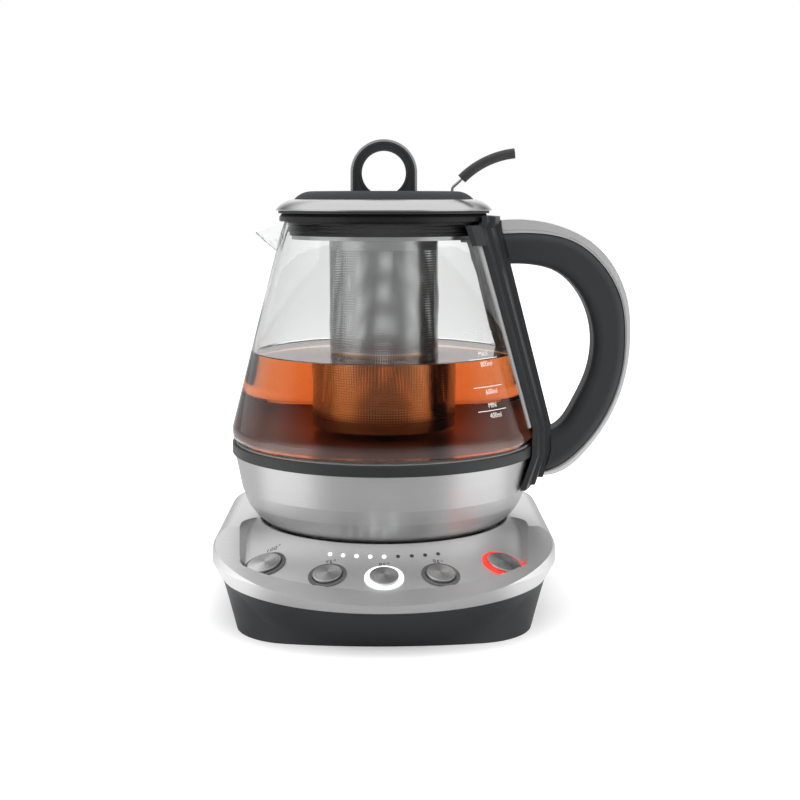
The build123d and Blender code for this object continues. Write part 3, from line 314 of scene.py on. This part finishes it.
def turned_steel(
    name, colour, roughness=0.3, centre=(0, 0, 0), lines=(3, 3000, 3000), depth=0.16, anisotropy=0.5, painted_reflection_fans=0.0,
):
    """Steel brushed or spun round an upright axis. A nonzero fan value paints a bow-tie reflection into the colour,
    dimming it in two opposite wedges round the centre.
    """
    material, tree, shader, where = new_material(name)
    set_shader(shader, Metallic=1.0, Roughness=roughness, Anisotropic=anisotropy)
    if anisotropy:
        set_shader(shader, Anisotropic_Rotation=0.25)
        tangent = tree.nodes.new("ShaderNodeTangent")
        tangent.direction_type = "RADIAL"
        tangent.axis = "Z"
        tree.links.new(tangent.outputs[0], shader.inputs["Tangent"])
    centred = mapped(tree, where, shift=[-c for c in centre])
    position = group_node(tree, "round_position", Vector=centred)
    brushed = group_node(tree, "brush_lines", Vector=mapped(tree, position.outputs["Vector"], lines), Depth=depth)
    shade = brushed.outputs["Shade"]
    # Painted reflection: the colour dims in two opposite wedges, standing in for the bow-tie reflection of spun steel
    if painted_reflection_fans:
        turn = maths(tree, "SINE", maths(tree, "ADD", position.outputs["Angle"], -0.5))
        painted_shade = maths(tree, "MULTIPLY", maths(tree, "MULTIPLY", turn, turn), painted_reflection_fans)
        shade = maths(tree, "MULTIPLY", shade, maths(tree, "SUBTRACT", 1.0, painted_shade))
    tint(tree, shader, colour, shade)
    tree.links.new(maths(tree, "MULTIPLY", brushed.outputs["Shade"], roughness), shader.inputs["Roughness"])
    bump(tree, shader, brushed.outputs["Height"], 0.000012)
    return material


def moulded_plastic(name, colour, roughness=0.45, size=1500.0, depth=0.2, height=0.00002, gloss=0.5):
    """Moulded plastic or rubber with a fine grain."""
    material, tree, shader, where = new_material(name)
    set_shader(shader, Roughness=roughness, Specular_IOR_Level=gloss)
    grain = group_node(tree, "moulded_grain", Vector=where, Size=size, Depth=depth)
    tint(tree, shader, colour, grain.outputs["Shade"])
    tree.links.new(maths(tree, "ADD", grain.outputs["Unevenness"], roughness), shader.inputs["Roughness"])
    bump(tree, shader, grain.outputs["Height"], height)
    return material


def lit_plastic(name, colour, strength):
    """Light guide that glows a little unevenly."""
    material, tree, shader, where = new_material(name)
    set_shader(shader, Roughness=0.3, Emission_Strength=strength)
    grain = group_node(tree, "moulded_grain", Vector=where, Size=600.0, Depth=0.12)
    tint(tree, shader, colour, grain.outputs["Shade"])
    node = tree.nodes.new("ShaderNodeMix")
    node.data_type = "RGBA"
    node.blend_type = "MULTIPLY"
    node.inputs["Factor"].default_value = 1.0
    node.inputs["A"].default_value = (*colour, 1)
    tree.links.new(grain.outputs["Shade"], node.inputs["B"])
    tree.links.new(node.outputs["Result"], shader.inputs["Emission Color"])
    return material


def jug_glass():
    """Clear thick glass."""
    material, tree, shader, where = new_material("jug_glass")
    set_shader(shader, Base_Color=(0.985, 0.995, 0.99, 1), Roughness=0.0, IOR=1.47)
    set_shader(shader, Transmission_Weight=1.0, Specular_IOR_Level=0.35)
    slow = noise(tree, where, 22.0, 1.0)
    bump(tree, shader, slow, 0.00004, 0.25)
    return material


def tea_liquid(colour, strength):
    """Clear liquid that takes the blue and green out of light."""
    material, tree, shader, where = new_material("tea_liquid")
    set_shader(shader, Base_Color=(1, 1, 1, 1), Roughness=0.0, IOR=1.333)
    set_shader(shader, Transmission_Weight=1.0, Specular_IOR_Level=0.2)
    absorb = tree.nodes.new("ShaderNodeVolumeAbsorption")
    absorb.inputs["Color"].default_value = (*colour, 1)
    absorb.inputs["Density"].default_value = strength
    tree.links.new(absorb.outputs[0], tree.nodes["Material Output"].inputs["Volume"])
    bump(tree, shader, noise(tree, where, 30.0, 1.0), 0.00003, 0.2)
    return material


def perforated_steel(colour):
    """Steel sheet with a square grid of small round holes between two plain bands."""
    material, tree, shader, where = new_material("perforated_steel")
    set_shader(shader, Metallic=1.0, Roughness=0.25)
    position = group_node(tree, "round_position", Vector=where)
    pitch = 2 * math.pi * TUBE_R * MM / HOLES_ROUND
    across = maths(tree, "FRACT", maths(tree, "MULTIPLY", position.outputs["Angle"], HOLES_ROUND / (2 * math.pi)))
    along = maths(tree, "FRACT", maths(tree, "DIVIDE", position.outputs["Height"], pitch))
    dx, dy = maths(tree, "SUBTRACT", across, 0.5), maths(tree, "SUBTRACT", along, 0.5)
    away = maths(tree, "SQRT", maths(tree, "ADD", maths(tree, "MULTIPLY", dx, dx), maths(tree, "MULTIPLY", dy, dy)))
    hole = maths(tree, "LESS_THAN", away, HOLE_SHARE)
    above = maths(tree, "GREATER_THAN", position.outputs["Height"], HOLES_FROM)
    below = maths(tree, "LESS_THAN", position.outputs["Height"], HOLES_TO)
    hole = maths(tree, "MULTIPLY", hole, maths(tree, "MULTIPLY", above, below))
    tree.links.new(maths(tree, "SUBTRACT", 1.0, hole), shader.inputs["Alpha"])
    stretched = mapped(tree, position.outputs["Vector"], (3, 3000, 3000))
    lines = group_node(tree, "brush_lines", Vector=stretched, Depth=0.15)
    tint(tree, shader, colour, lines.outputs["Shade"])
    return material


def paint(material, *names):
    """Give CAD nodes a material."""
    for name in names:
        node = NODES[name]
        if node.data.materials:
            node.data.materials[0] = material
        else:
            node.data.materials.append(material)


def add_piece(name, mesh_or_bm, material, body, smooth=True):
    """Link a new piece, shaded, painted and riding on its body."""
    mesh = bpy.data.meshes.new(name)
    if isinstance(mesh_or_bm, bmesh.types.BMesh):
        mesh_or_bm.to_mesh(mesh)
        mesh_or_bm.free()
    else:
        mesh = mesh_or_bm
    for polygon in mesh.polygons:
        polygon.use_smooth = smooth
    piece = bpy.data.objects.new(name, mesh)
    bpy.context.scene.collection.objects.link(piece)
    mesh.materials.clear()
    mesh.materials.append(material)
    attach(piece, body)
    return piece


def crease(bm, angle):
    """Keep the edges sharper than an angle, in degrees, as corners."""
    limit = math.radians(angle)
    for edge in bm.edges:
        edge.smooth = len(edge.link_faces) == 2 and edge.calc_face_angle(0) < limit


def merged_copy(node, name, material, body, angle=30):
    """Welded copy of a CAD node with smooth curves and sharp corners, which stands for the node."""
    bm = bmesh.new()
    bm.from_mesh(NODES[node].data)
    bmesh.ops.remove_doubles(bm, verts=bm.verts, dist=1e-6)
    crease(bm, angle)
    piece = add_piece(name, bm, material, body)
    weighted = piece.modifiers.new("weighted", "WEIGHTED_NORMAL")
    weighted.keep_sharp = True
    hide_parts(node)
    return piece


def spun(profile, steps=192):
    """Closed turned shape from (radius, height) points in millimetres."""
    bm = bmesh.new()
    verts = [bm.verts.new((r * MM, 0, z * MM)) for r, z in profile]
    edges = [bm.edges.new(pair) for pair in zip(verts, verts[1:])]
    bmesh.ops.spin(
        bm, geom=verts + edges, cent=(0, 0, 0), axis=(0, 0, 1), angle=2 * math.pi, steps=steps, use_merge=True,
    )
    bmesh.ops.remove_doubles(bm, verts=bm.verts, dist=1e-7)
    bmesh.ops.recalc_face_normals(bm, faces=bm.faces)
    crease(bm, 20)
    return bm


# ---------------------------------------------------------------- text


def text_mesh(words, size, spacing=1.0):
    """Flat mesh of some words, centred, in metres."""
    curve = bpy.data.curves.new("words", "FONT")
    curve.body = words
    curve.size = size
    curve.space_character = spacing
    curve.align_x = "CENTER"
    curve.align_y = "CENTER"
    curve.resolution_u = 3
    holder = bpy.data.objects.new("words", curve)
    bpy.context.scene.collection.objects.link(holder)
    bpy.context.view_layer.update()
    mesh = bpy.data.meshes.new_from_object(holder.evaluated_get(bpy.context.evaluated_depsgraph_get()))
    bpy.data.objects.remove(holder)
    return mesh


def join_flat(parts):
    """One bmesh from flat meshes, each with the function that puts its points in place."""
    bm = bmesh.new()
    for mesh, move in parts:
        before = len(bm.verts)
        bm.from_mesh(mesh)
        bm.verts.ensure_lookup_table()
        for vert in bm.verts[before:]:
            vert.co = move(vert.co.x, vert.co.y)
    bmesh.ops.recalc_face_normals(bm, faces=bm.faces)
    return bm


def flat_line(width, height, cells=12):
    """Thin flat bar, cut into cells so that it can bend."""
    bm = bmesh.new()
    bmesh.ops.create_grid(bm, x_segments=cells, y_segments=1, size=0.5)
    bmesh.ops.scale(bm, vec=(width, height, 1), verts=bm.verts)
    mesh = bpy.data.meshes.new("line")
    bm.to_mesh(mesh)
    bm.free()
    return mesh


# ---------------------------------------------------------------- operators


class TEAMAKER_OT_base(bpy.types.Operator):
    """Finish the steel cap, the dark housing and what is under the jug"""

    bl_idname = "tea_maker.base"
    bl_label = "Base"

    def execute(self, context):
        dark = tuple(context.scene.tea_maker_finish.dark)
        paint(straight_steel("cap_steel", LIGHT_STEEL, 0.45), "control_panel")
        paint(moulded_plastic("housing_plastic", dark, 0.5, 1700.0, gloss=0.3), "base_housing")
        paint(moulded_plastic("tray_plastic", (0.02, 0.02, 0.021), 0.4), "well_tray", "connector_plug")
        under = moulded_plastic("under_plastic", (0.06, 0.06, 0.062), 0.55)
        paint(under, "bottom_cover", "board_pegs", "switch_carrier")
        paint(moulded_plastic("foot_rubber", (0.02, 0.02, 0.02), 0.8, 900.0), "rubber_feet", "cord_gland")
        paint(straight_steel("screw_steel", (0.5, 0.5, 0.5), 0.35), "bottom_screws")
        paint(turned_steel("contact_metal", (0.75, 0.6, 0.35), 0.3), "connector_springs")
        paint(moulded_plastic("board_mask", (0.02, 0.12, 0.06), 0.35), "power_board")
        paint(moulded_plastic("board_part", (0.05, 0.05, 0.055), 0.4), "board_parts", "key_switches")
        return {"FINISHED"}


class TEAMAKER_OT_keys(bpy.types.Operator):
    """Finish the keys, their rings and the indicator lights"""

    bl_idname = "tea_maker.keys"
    bl_label = "Keys and lights"

    def execute(self, context):
        looks = context.scene.tea_maker_finish
        for key in ("100", "75", "85", "95", "start"):
            low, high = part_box(f"key_{key}_cap")
            centre = (low + high) / 2
            # The keys' steel gets a painted bow-tie reflection: two opposite wedges of painted shade in its colour
            steel = turned_steel(
                f"key_steel_painted_fans_{key}", LIGHT_STEEL, 0.28, tuple(centre), (2, 5200, 0), 0.3, anisotropy=0.8, painted_reflection_fans=0.5,
            )
            paint(steel, f"key_{key}_cap")
            paint(bpy.data.materials["under_plastic"], f"key_{key}_stem")
        paint(lit_plastic("ring_white", (0.93, 0.95, 0.97), looks.lamp), "light_ring_white")
        paint(lit_plastic("ring_red", (0.85, 0.03, 0.02), looks.lamp), "light_ring_red")
        paint(moulded_plastic("ring_grey", (0.10, 0.10, 0.10), 0.3, 900.0), "light_rings_off")
        paint(lit_plastic("lamp_white", (1.0, 1.0, 1.0), looks.lamp * 1.3), "indicators_on")
        paint(moulded_plastic("lamp_dark", (0.05, 0.05, 0.05), 0.3, 900.0), "indicators_off")
        return {"FINISHED"}


class TEAMAKER_OT_panel_numbers(bpy.types.Operator):
    """Print the temperatures beside the keys"""

    bl_idname = "tea_maker.panel_numbers"
    bl_label = "Panel numbers"

    def execute(self, context):
        panel = NODES["control_panel"].data
        tree = BVHTree.FromPolygons([v.co for v in panel.vertices], [p.vertices[:] for p in panel.polygons])
        parts = []
        for words, angle, radius, turn in KEY_NUMBERS:
            a, t = math.radians(angle), math.radians(-turn)
            spot = Vector((math.sin(a) * radius, -math.cos(a) * radius)) * MM

            def move(x, y, spot=spot, t=t):
                east, north = x * math.cos(t) - y * math.sin(t), x * math.sin(t) + y * math.cos(t)
                at = Vector((spot.x + east, spot.y + north, 0.1))
                point, normal, _, _ = tree.ray_cast(at, Vector((0, 0, -1)))
                if point is None or point.z < 0.025:
                    point, normal, _, _ = tree.find_nearest(Vector((at.x, at.y, 0.036)))
                return point + normal * 0.00005

            parts.append((text_mesh(words, 0.0036, 1.1), move))
        ink = moulded_plastic("panel_ink", (0.03, 0.03, 0.03), 0.5, 1200.0)
        add_piece("panel_numbers", join_flat(parts), ink, "base", smooth=False)
        return {"FINISHED"}


class TEAMAKER_OT_jug(bpy.types.Operator):
    """Finish the glass, the steel bowl and what lies between them"""

    bl_idname = "tea_maker.jug"
    bl_label = "Jug"

    def execute(self, context):
        steel = tuple(context.scene.tea_maker_finish.steel)
        merged_copy("glass_jug", "jug_body_glass", jug_glass(), "jug")
        paint(turned_steel("bowl_steel", steel, 0.42, anisotropy=0.8), "steel_bowl")
        paint(moulded_plastic("collar_plastic", (0.022, 0.023, 0.024), 0.38, gloss=0.35), "collar_ring")
        paint(moulded_plastic("clear_silicone", (0.35, 0.35, 0.35), 0.35), "plate_gasket", "strap_pad")
        # The heater plate and probe are plain steel; their reddish-brown colour is painted light, the red that light
        # through the tea gives them
        paint(turned_steel("plate_steel", (0.20, 0.09, 0.05), 0.35), "heater_plate", "temperature_probe")
        paint(straight_steel("element_metal", (0.4, 0.4, 0.4), 0.45), "heating_element")
        paint(moulded_plastic("foot_plastic", (0.012, 0.012, 0.013), 0.5, gloss=0.3), "bowl_foot", "jug_connector")
        paint(bpy.data.materials["contact_metal"], "jug_contacts")
        return {"FINISHED"}


class TEAMAKER_OT_tea(bpy.types.Operator):
    """Fill the jug with tea up to its level"""

    bl_idname = "tea_maker.tea"
    bl_label = "Tea"

    def execute(self, context):
        tea = context.scene.tea_maker_tea
        level = tea.level / MM
        grow = 0.15

        def inner(z):
            return glass_radius(z) - GLASS_WALL + grow

        profile = [
            (0, 85.45), (74.8, 85.45), (76.4, 85.7), (77.75, 86.9), (78.1, 88.2), (78.25, 90.3),
            (inner(92.3), 92.3), (inner(93.5), 93.5), (inner(110), 110), (inner(level + 0.9), level + 0.9),
            (inner(level) - 0.45, level + 0.35), (inner(level) - 1.3, level + 0.05),
            (inner(level) - 2.6, level), (31.0, level), (29.6, level + 0.1), (28.75, level + 0.5),
            (28.3, level + 0.5), (27.0, level), (0, level),
        ]
        add_piece("tea_fill", spun(profile), tea_liquid(tuple(tea.colour), tea.strength), "jug")
        return {"FINISHED"}


class TEAMAKER_OT_volume_marks(bpy.types.Operator):
    """Print the volume marks on the glass"""

    bl_idname = "tea_maker.volume_marks"
    bl_label = "Volume marks"

    def execute(self, context):
        def on_glass(middle, z0, lift=0.05):
            def move(x, y):
                z = z0 / MM + y / MM
                r = glass_radius(z) + lift
                a = math.radians(middle) + x / MM / r
                return Vector((r * math.sin(a), -r * math.cos(a), z)) * MM
            return move

        parts = {"pale": [], "grey": []}
        for z, words, above, shade in VOLUME_MARKS:
            target = parts[shade]
            target.append((flat_line(0.0210, 0.00035), on_glass(45, z * MM)))
            target.append((text_mesh(words, 0.0036), on_glass(46, (z - 2.6) * MM)))
            if above:
                target.append((text_mesh(above, 0.0034), on_glass(45, (z + 2.4) * MM)))
        white = moulded_plastic("mark_white", (0.85, 0.80, 0.76), 0.5)
        add_piece("marks_low", join_flat(parts["pale"]), white, "jug", smooth=False)
        dull = moulded_plastic("mark_grey", (0.55, 0.55, 0.55), 0.5)
        add_piece("marks_high", join_flat(parts["grey"]), dull, "jug", smooth=False)
        return {"FINISHED"}


class TEAMAKER_OT_handle(bpy.types.Operator):
    """Finish the strap, the grip and its steel band"""

    bl_idname = "tea_maker.handle"
    bl_label = "Handle"

    def execute(self, context):
        looks = context.scene.tea_maker_finish
        paint(moulded_plastic("strap_plastic", tuple(looks.dark), 0.42, gloss=0.35), "handle_saddle", "handle_frame")
        paint(moulded_plastic("grip_plastic", tuple(looks.grip), 0.5, 1300.0, gloss=0.3), "handle_grip")
        paint(moulded_plastic("trim_plastic", (0.5, 0.5, 0.5), 0.3), "handle_trim")
        paint(straight_steel("band_steel", (0.95, 0.95, 0.95), 0.45, (2600, 2600, 60)), "handle_band")
        paint(bpy.data.materials["screw_steel"], "handle_screws")
        return {"FINISHED"}


class TEAMAKER_OT_infuser(bpy.types.Operator):
    """Finish the perforated tube, its flange and the seal"""

    bl_idname = "tea_maker.infuser"
    bl_label = "Infuser"

    def execute(self, context):
        looks = context.scene.tea_maker_finish
        paint(perforated_steel(tuple(looks.steel)), "infuser_tube")
        paint(turned_steel("flange_steel", tuple(looks.steel), 0.28), "infuser_flange", "infuser_floor")
        rubber = moulded_plastic("seal_rubber", (0.008, 0.008, 0.009), 0.35, 1000.0, gloss=0.35)
        paint(rubber, "infuser_seal", "lid_seal")
        return {"FINISHED"}


class TEAMAKER_OT_lid(bpy.types.Operator):
    """Finish the lid and its ring knob"""

    bl_idname = "tea_maker.lid"
    bl_label = "Lid"

    def execute(self, context):
        looks = context.scene.tea_maker_finish
        paint(moulded_plastic("lid_plastic", tuple(looks.grip), 0.6, 1300.0, gloss=0.15), "lid_disc")
        knob = moulded_plastic("knob_plastic", tuple(looks.grip), 0.5, 1300.0, 0.5, 0.00006, gloss=0.3)
        paint(knob, "knob_core", "lid_base")
        paint(turned_steel("rim_steel", tuple(looks.steel), 0.22), "lid_rim")
        paint(straight_steel("knob_steel", (0.86, 0.86, 0.86), 0.34, (60, 2600, 60)), "knob_band")
        paint(bpy.data.materials["screw_steel"], "knob_screws", "lever_pin")
        return {"FINISHED"}


class TEAMAKER_OT_lever(bpy.types.Operator):
    """Finish the lever's wire and soft grip"""

    bl_idname = "tea_maker.lever"
    bl_label = "Lever"

    def execute(self, context):
        paint(straight_steel("wire_steel", (0.45, 0.45, 0.45), 0.25), "lever_wire")
        paint(moulded_plastic("lever_rubber", (0.035, 0.035, 0.037), 0.5, 900.0), "lever_grip")
        return {"FINISHED"}


class TEAMAKER_OT_stage(bpy.types.Operator):
    """Make the floor, the light and the camera"""

    bl_idname = "tea_maker.stage"
    bl_label = "Stage"

    def execute(self, context):
        stage = context.scene.tea_maker_stage
        scene = context.scene
        scene.view_settings.view_transform = "Standard"
        self.make_world(scene, stage.fill)
        self.make_floor(scene)
        self.make_lamps(scene, stage)
        self.make_camera(scene)
        return {"FINISHED"}

    @staticmethod
    def ray_kinds(tree):
        """Masks for rays that see the background directly or through glass, and for those that were mirrored."""
        path = tree.nodes.new("ShaderNodeLightPath")
        clear = maths(tree, "MAXIMUM", path.outputs["Is Camera Ray"], path.outputs["Is Transmission Ray"])
        bounced = maths(tree, "GREATER_THAN", path.outputs["Glossy Depth"], 0.5)
        glossy = maths(tree, "MULTIPLY", maths(tree, "MAXIMUM", clear, path.outputs["Is Glossy Ray"]), bounced)
        return maths(tree, "MULTIPLY", clear, maths(tree, "SUBTRACT", 1.0, bounced)), glossy

    @staticmethod
    def turn_from_front(tree, x, y):
        """0 in front of the object, 1 behind it."""
        turn = maths(tree, "ARCTAN2", maths(tree, "ABSOLUTE", x), maths(tree, "MULTIPLY", y, -1.0))
        return maths(tree, "DIVIDE", turn, math.pi)

    @staticmethod
    def ramp(tree, value, stops):
        """Brightness from a value by (position, brightness) stops."""
        node = tree.nodes.new("ShaderNodeValToRGB")
        elements = node.color_ramp.elements
        elements[0].position, elements[-1].position = stops[0][0], stops[-1][0]
        for position, _ in stops[1:-1]:
            elements.new(position)
        for element, (_, level) in zip(elements, stops):
            element.color = (level, level, level, 1)
        tree.links.new(value, node.inputs[0])
        grey = tree.nodes.new("ShaderNodeRGBToBW")
        tree.links.new(node.outputs[0], grey.inputs[0])
        return grey.outputs[0]

    def make_world(self, scene, fill):
        world = bpy.data.worlds.new("studio")
        scene.world = world
        world.use_nodes = True
        tree = world.node_tree
        back = tree.nodes["Background"]
        back.inputs["Color"].default_value = (1, 1, 1, 1)
        direct, glossy = self.ray_kinds(tree)
        direction = tree.nodes.new("ShaderNodeTexCoord").outputs["Generated"]
        parts = tree.nodes.new("ShaderNodeSeparateXYZ")
        tree.links.new(direction, parts.inputs[0])
        turn = self.turn_from_front(tree, parts.outputs["X"], parts.outputs["Y"])
        height = parts.outputs["Z"]
        level = maths(tree, "MULTIPLY", self.ramp(tree, turn, ROUND_ABOUT), self.ramp(tree, height, LOW_DOWN))
        above = maths(tree, "MAXIMUM", self.ramp(tree, height, OVERHEAD), self.ramp(tree, turn, BEHIND))
        mirrored = maths(tree, "MAXIMUM", level, above)
        rest = maths(tree, "SUBTRACT", 1.0, maths(tree, "MAXIMUM", direct, glossy))
        seen = maths(tree, "ADD", direct, maths(tree, "MULTIPLY", glossy, mirrored))
        tree.links.new(maths(tree, "ADD", seen, maths(tree, "MULTIPLY", rest, fill)), back.inputs["Strength"])

    def make_floor(self, scene):
        bm = bmesh.new()
        bmesh.ops.create_grid(bm, x_segments=1, y_segments=1, size=6.0)
        mesh = bpy.data.meshes.new("floor")
        bm.to_mesh(mesh)
        bm.free()
        floor = bpy.data.objects.new("floor", mesh)
        scene.collection.objects.link(floor)
        floor.location.z = -0.0001
        material = bpy.data.materials.new("floor_white")
        material.use_nodes = True
        tree = material.node_tree
        shader = tree.nodes["Principled BSDF"]
        set_shader(shader, Roughness=0.9, Specular_IOR_Level=0.0, Emission_Color=(1, 1, 1, 1))
        parts = tree.nodes.new("ShaderNodeSeparateXYZ")
        tree.links.new(tree.nodes.new("ShaderNodeTexCoord").outputs["Object"], parts.inputs[0])
        x, y, _ = parts.outputs
        away = maths(tree, "SQRT", maths(tree, "ADD", maths(tree, "MULTIPLY", x, x), maths(tree, "MULTIPLY", y, y)))
        direct, glossy = self.ray_kinds(tree)
        camera = tree.nodes.new("ShaderNodeLightPath").outputs["Is Camera Ray"]
        # Less lift near the middle: painted shade round the base, added to the real shadow; far off the floor is even
        # white
        seen = maths(tree, "MULTIPLY", camera, self.ramp(tree, away, FLOOR_LIFT))
        lift = maths(tree, "ADD", seen, maths(tree, "MULTIPLY", direct, self.ramp(tree, away, CLEAR_LIFT)))
        mirrored = maths(tree, "MULTIPLY", self.ramp(tree, self.turn_from_front(tree, x, y), ROUND_ABOUT), glossy)
        plain = maths(tree, "MULTIPLY", maths(tree, "SUBTRACT", 1.0, glossy), 0.85)
        tree.links.new(maths(tree, "ADD", plain, mirrored), shader.inputs["Base Color"])
        tree.links.new(lift, shader.inputs["Emission Strength"])
        mesh.materials.append(material)

    def make_lamps(self, scene, stage):
        for name, place, size, power in (
            ("lamp_left", (-0.75, -0.25, 0.45), 0.8, stage.key),
            ("lamp_right", (0.75, -0.25, 0.45), 0.8, stage.key),
            ("lamp_top", (0, 0.1, 1.1), 0.9, stage.top),
        ):
            lamp = bpy.data.lights.new(name, "AREA")
            lamp.shape = "SQUARE"
            lamp.size = size
            lamp.energy = power
            holder = bpy.data.objects.new(name, lamp)
            scene.collection.objects.link(holder)
            holder.location = place
            holder.visible_glossy = False
            holder.visible_transmission = False
            aim = Vector((0, 0, 0.1)) - Vector(place)
            holder.rotation_euler = aim.to_track_quat("-Z", "Y").to_euler()

    def make_camera(self, scene):
        data = bpy.data.cameras.new("view")
        data.sensor_width = 36.0
        data.lens = 61.42
        data.shift_y = -0.1
        data.clip_start, data.clip_end = 0.01, 50
        camera = bpy.data.objects.new("view", data)
        camera.location = (0.00056, -0.7209, 0.21015)
        camera.rotation_euler = (math.radians(90 - 5.05), 0, math.radians(-0.63))
        scene.collection.objects.link(camera)
        scene.camera = camera


class TEAMAKER_PT_panel(bpy.types.Panel):
    """Lists the tea maker's pieces and settings"""

    bl_idname = "TEAMAKER_PT_panel"
    bl_label = "Tea Maker"
    bl_space_type = "VIEW_3D"
    bl_region_type = "UI"
    bl_category = "Tea Maker"

    def draw(self, context):
        scene = context.scene
        for settings in (scene.tea_maker_tea, scene.tea_maker_finish, scene.tea_maker_stage):
            box = self.layout.box()
            for label in settings.bl_rna.properties.keys():
                if label not in ("rna_type", "name"):
                    box.prop(settings, label)
        for operator in OPERATORS:
            self.layout.operator(operator.bl_idname)


OPERATORS = (
    TEAMAKER_OT_base,
    TEAMAKER_OT_keys,
    TEAMAKER_OT_panel_numbers,
    TEAMAKER_OT_jug,
    TEAMAKER_OT_tea,
    TEAMAKER_OT_volume_marks,
    TEAMAKER_OT_handle,
    TEAMAKER_OT_infuser,
    TEAMAKER_OT_lid,
    TEAMAKER_OT_lever,
    TEAMAKER_OT_stage,
)
CLASSES = (TeaProperties, FinishProperties, StageProperties, *OPERATORS, TEAMAKER_PT_panel)


def register():
    for cls in CLASSES:
        bpy.utils.register_class(cls)
    bpy.types.Scene.tea_maker_tea = PointerProperty(type=TeaProperties)
    bpy.types.Scene.tea_maker_finish = PointerProperty(type=FinishProperties)
    bpy.types.Scene.tea_maker_stage = PointerProperty(type=StageProperties)


def unregister():
    for label in ("tea_maker_tea", "tea_maker_finish", "tea_maker_stage"):
        delattr(bpy.types.Scene, label)
    for cls in reversed(CLASSES):
        bpy.utils.unregister_class(cls)


def main():
    """Make everything in order."""
    register()
    for operator in OPERATORS:
        group, name = operator.bl_idname.split(".")
        getattr(getattr(bpy.ops, group), name)()


if __name__ == "__main__":
    main()
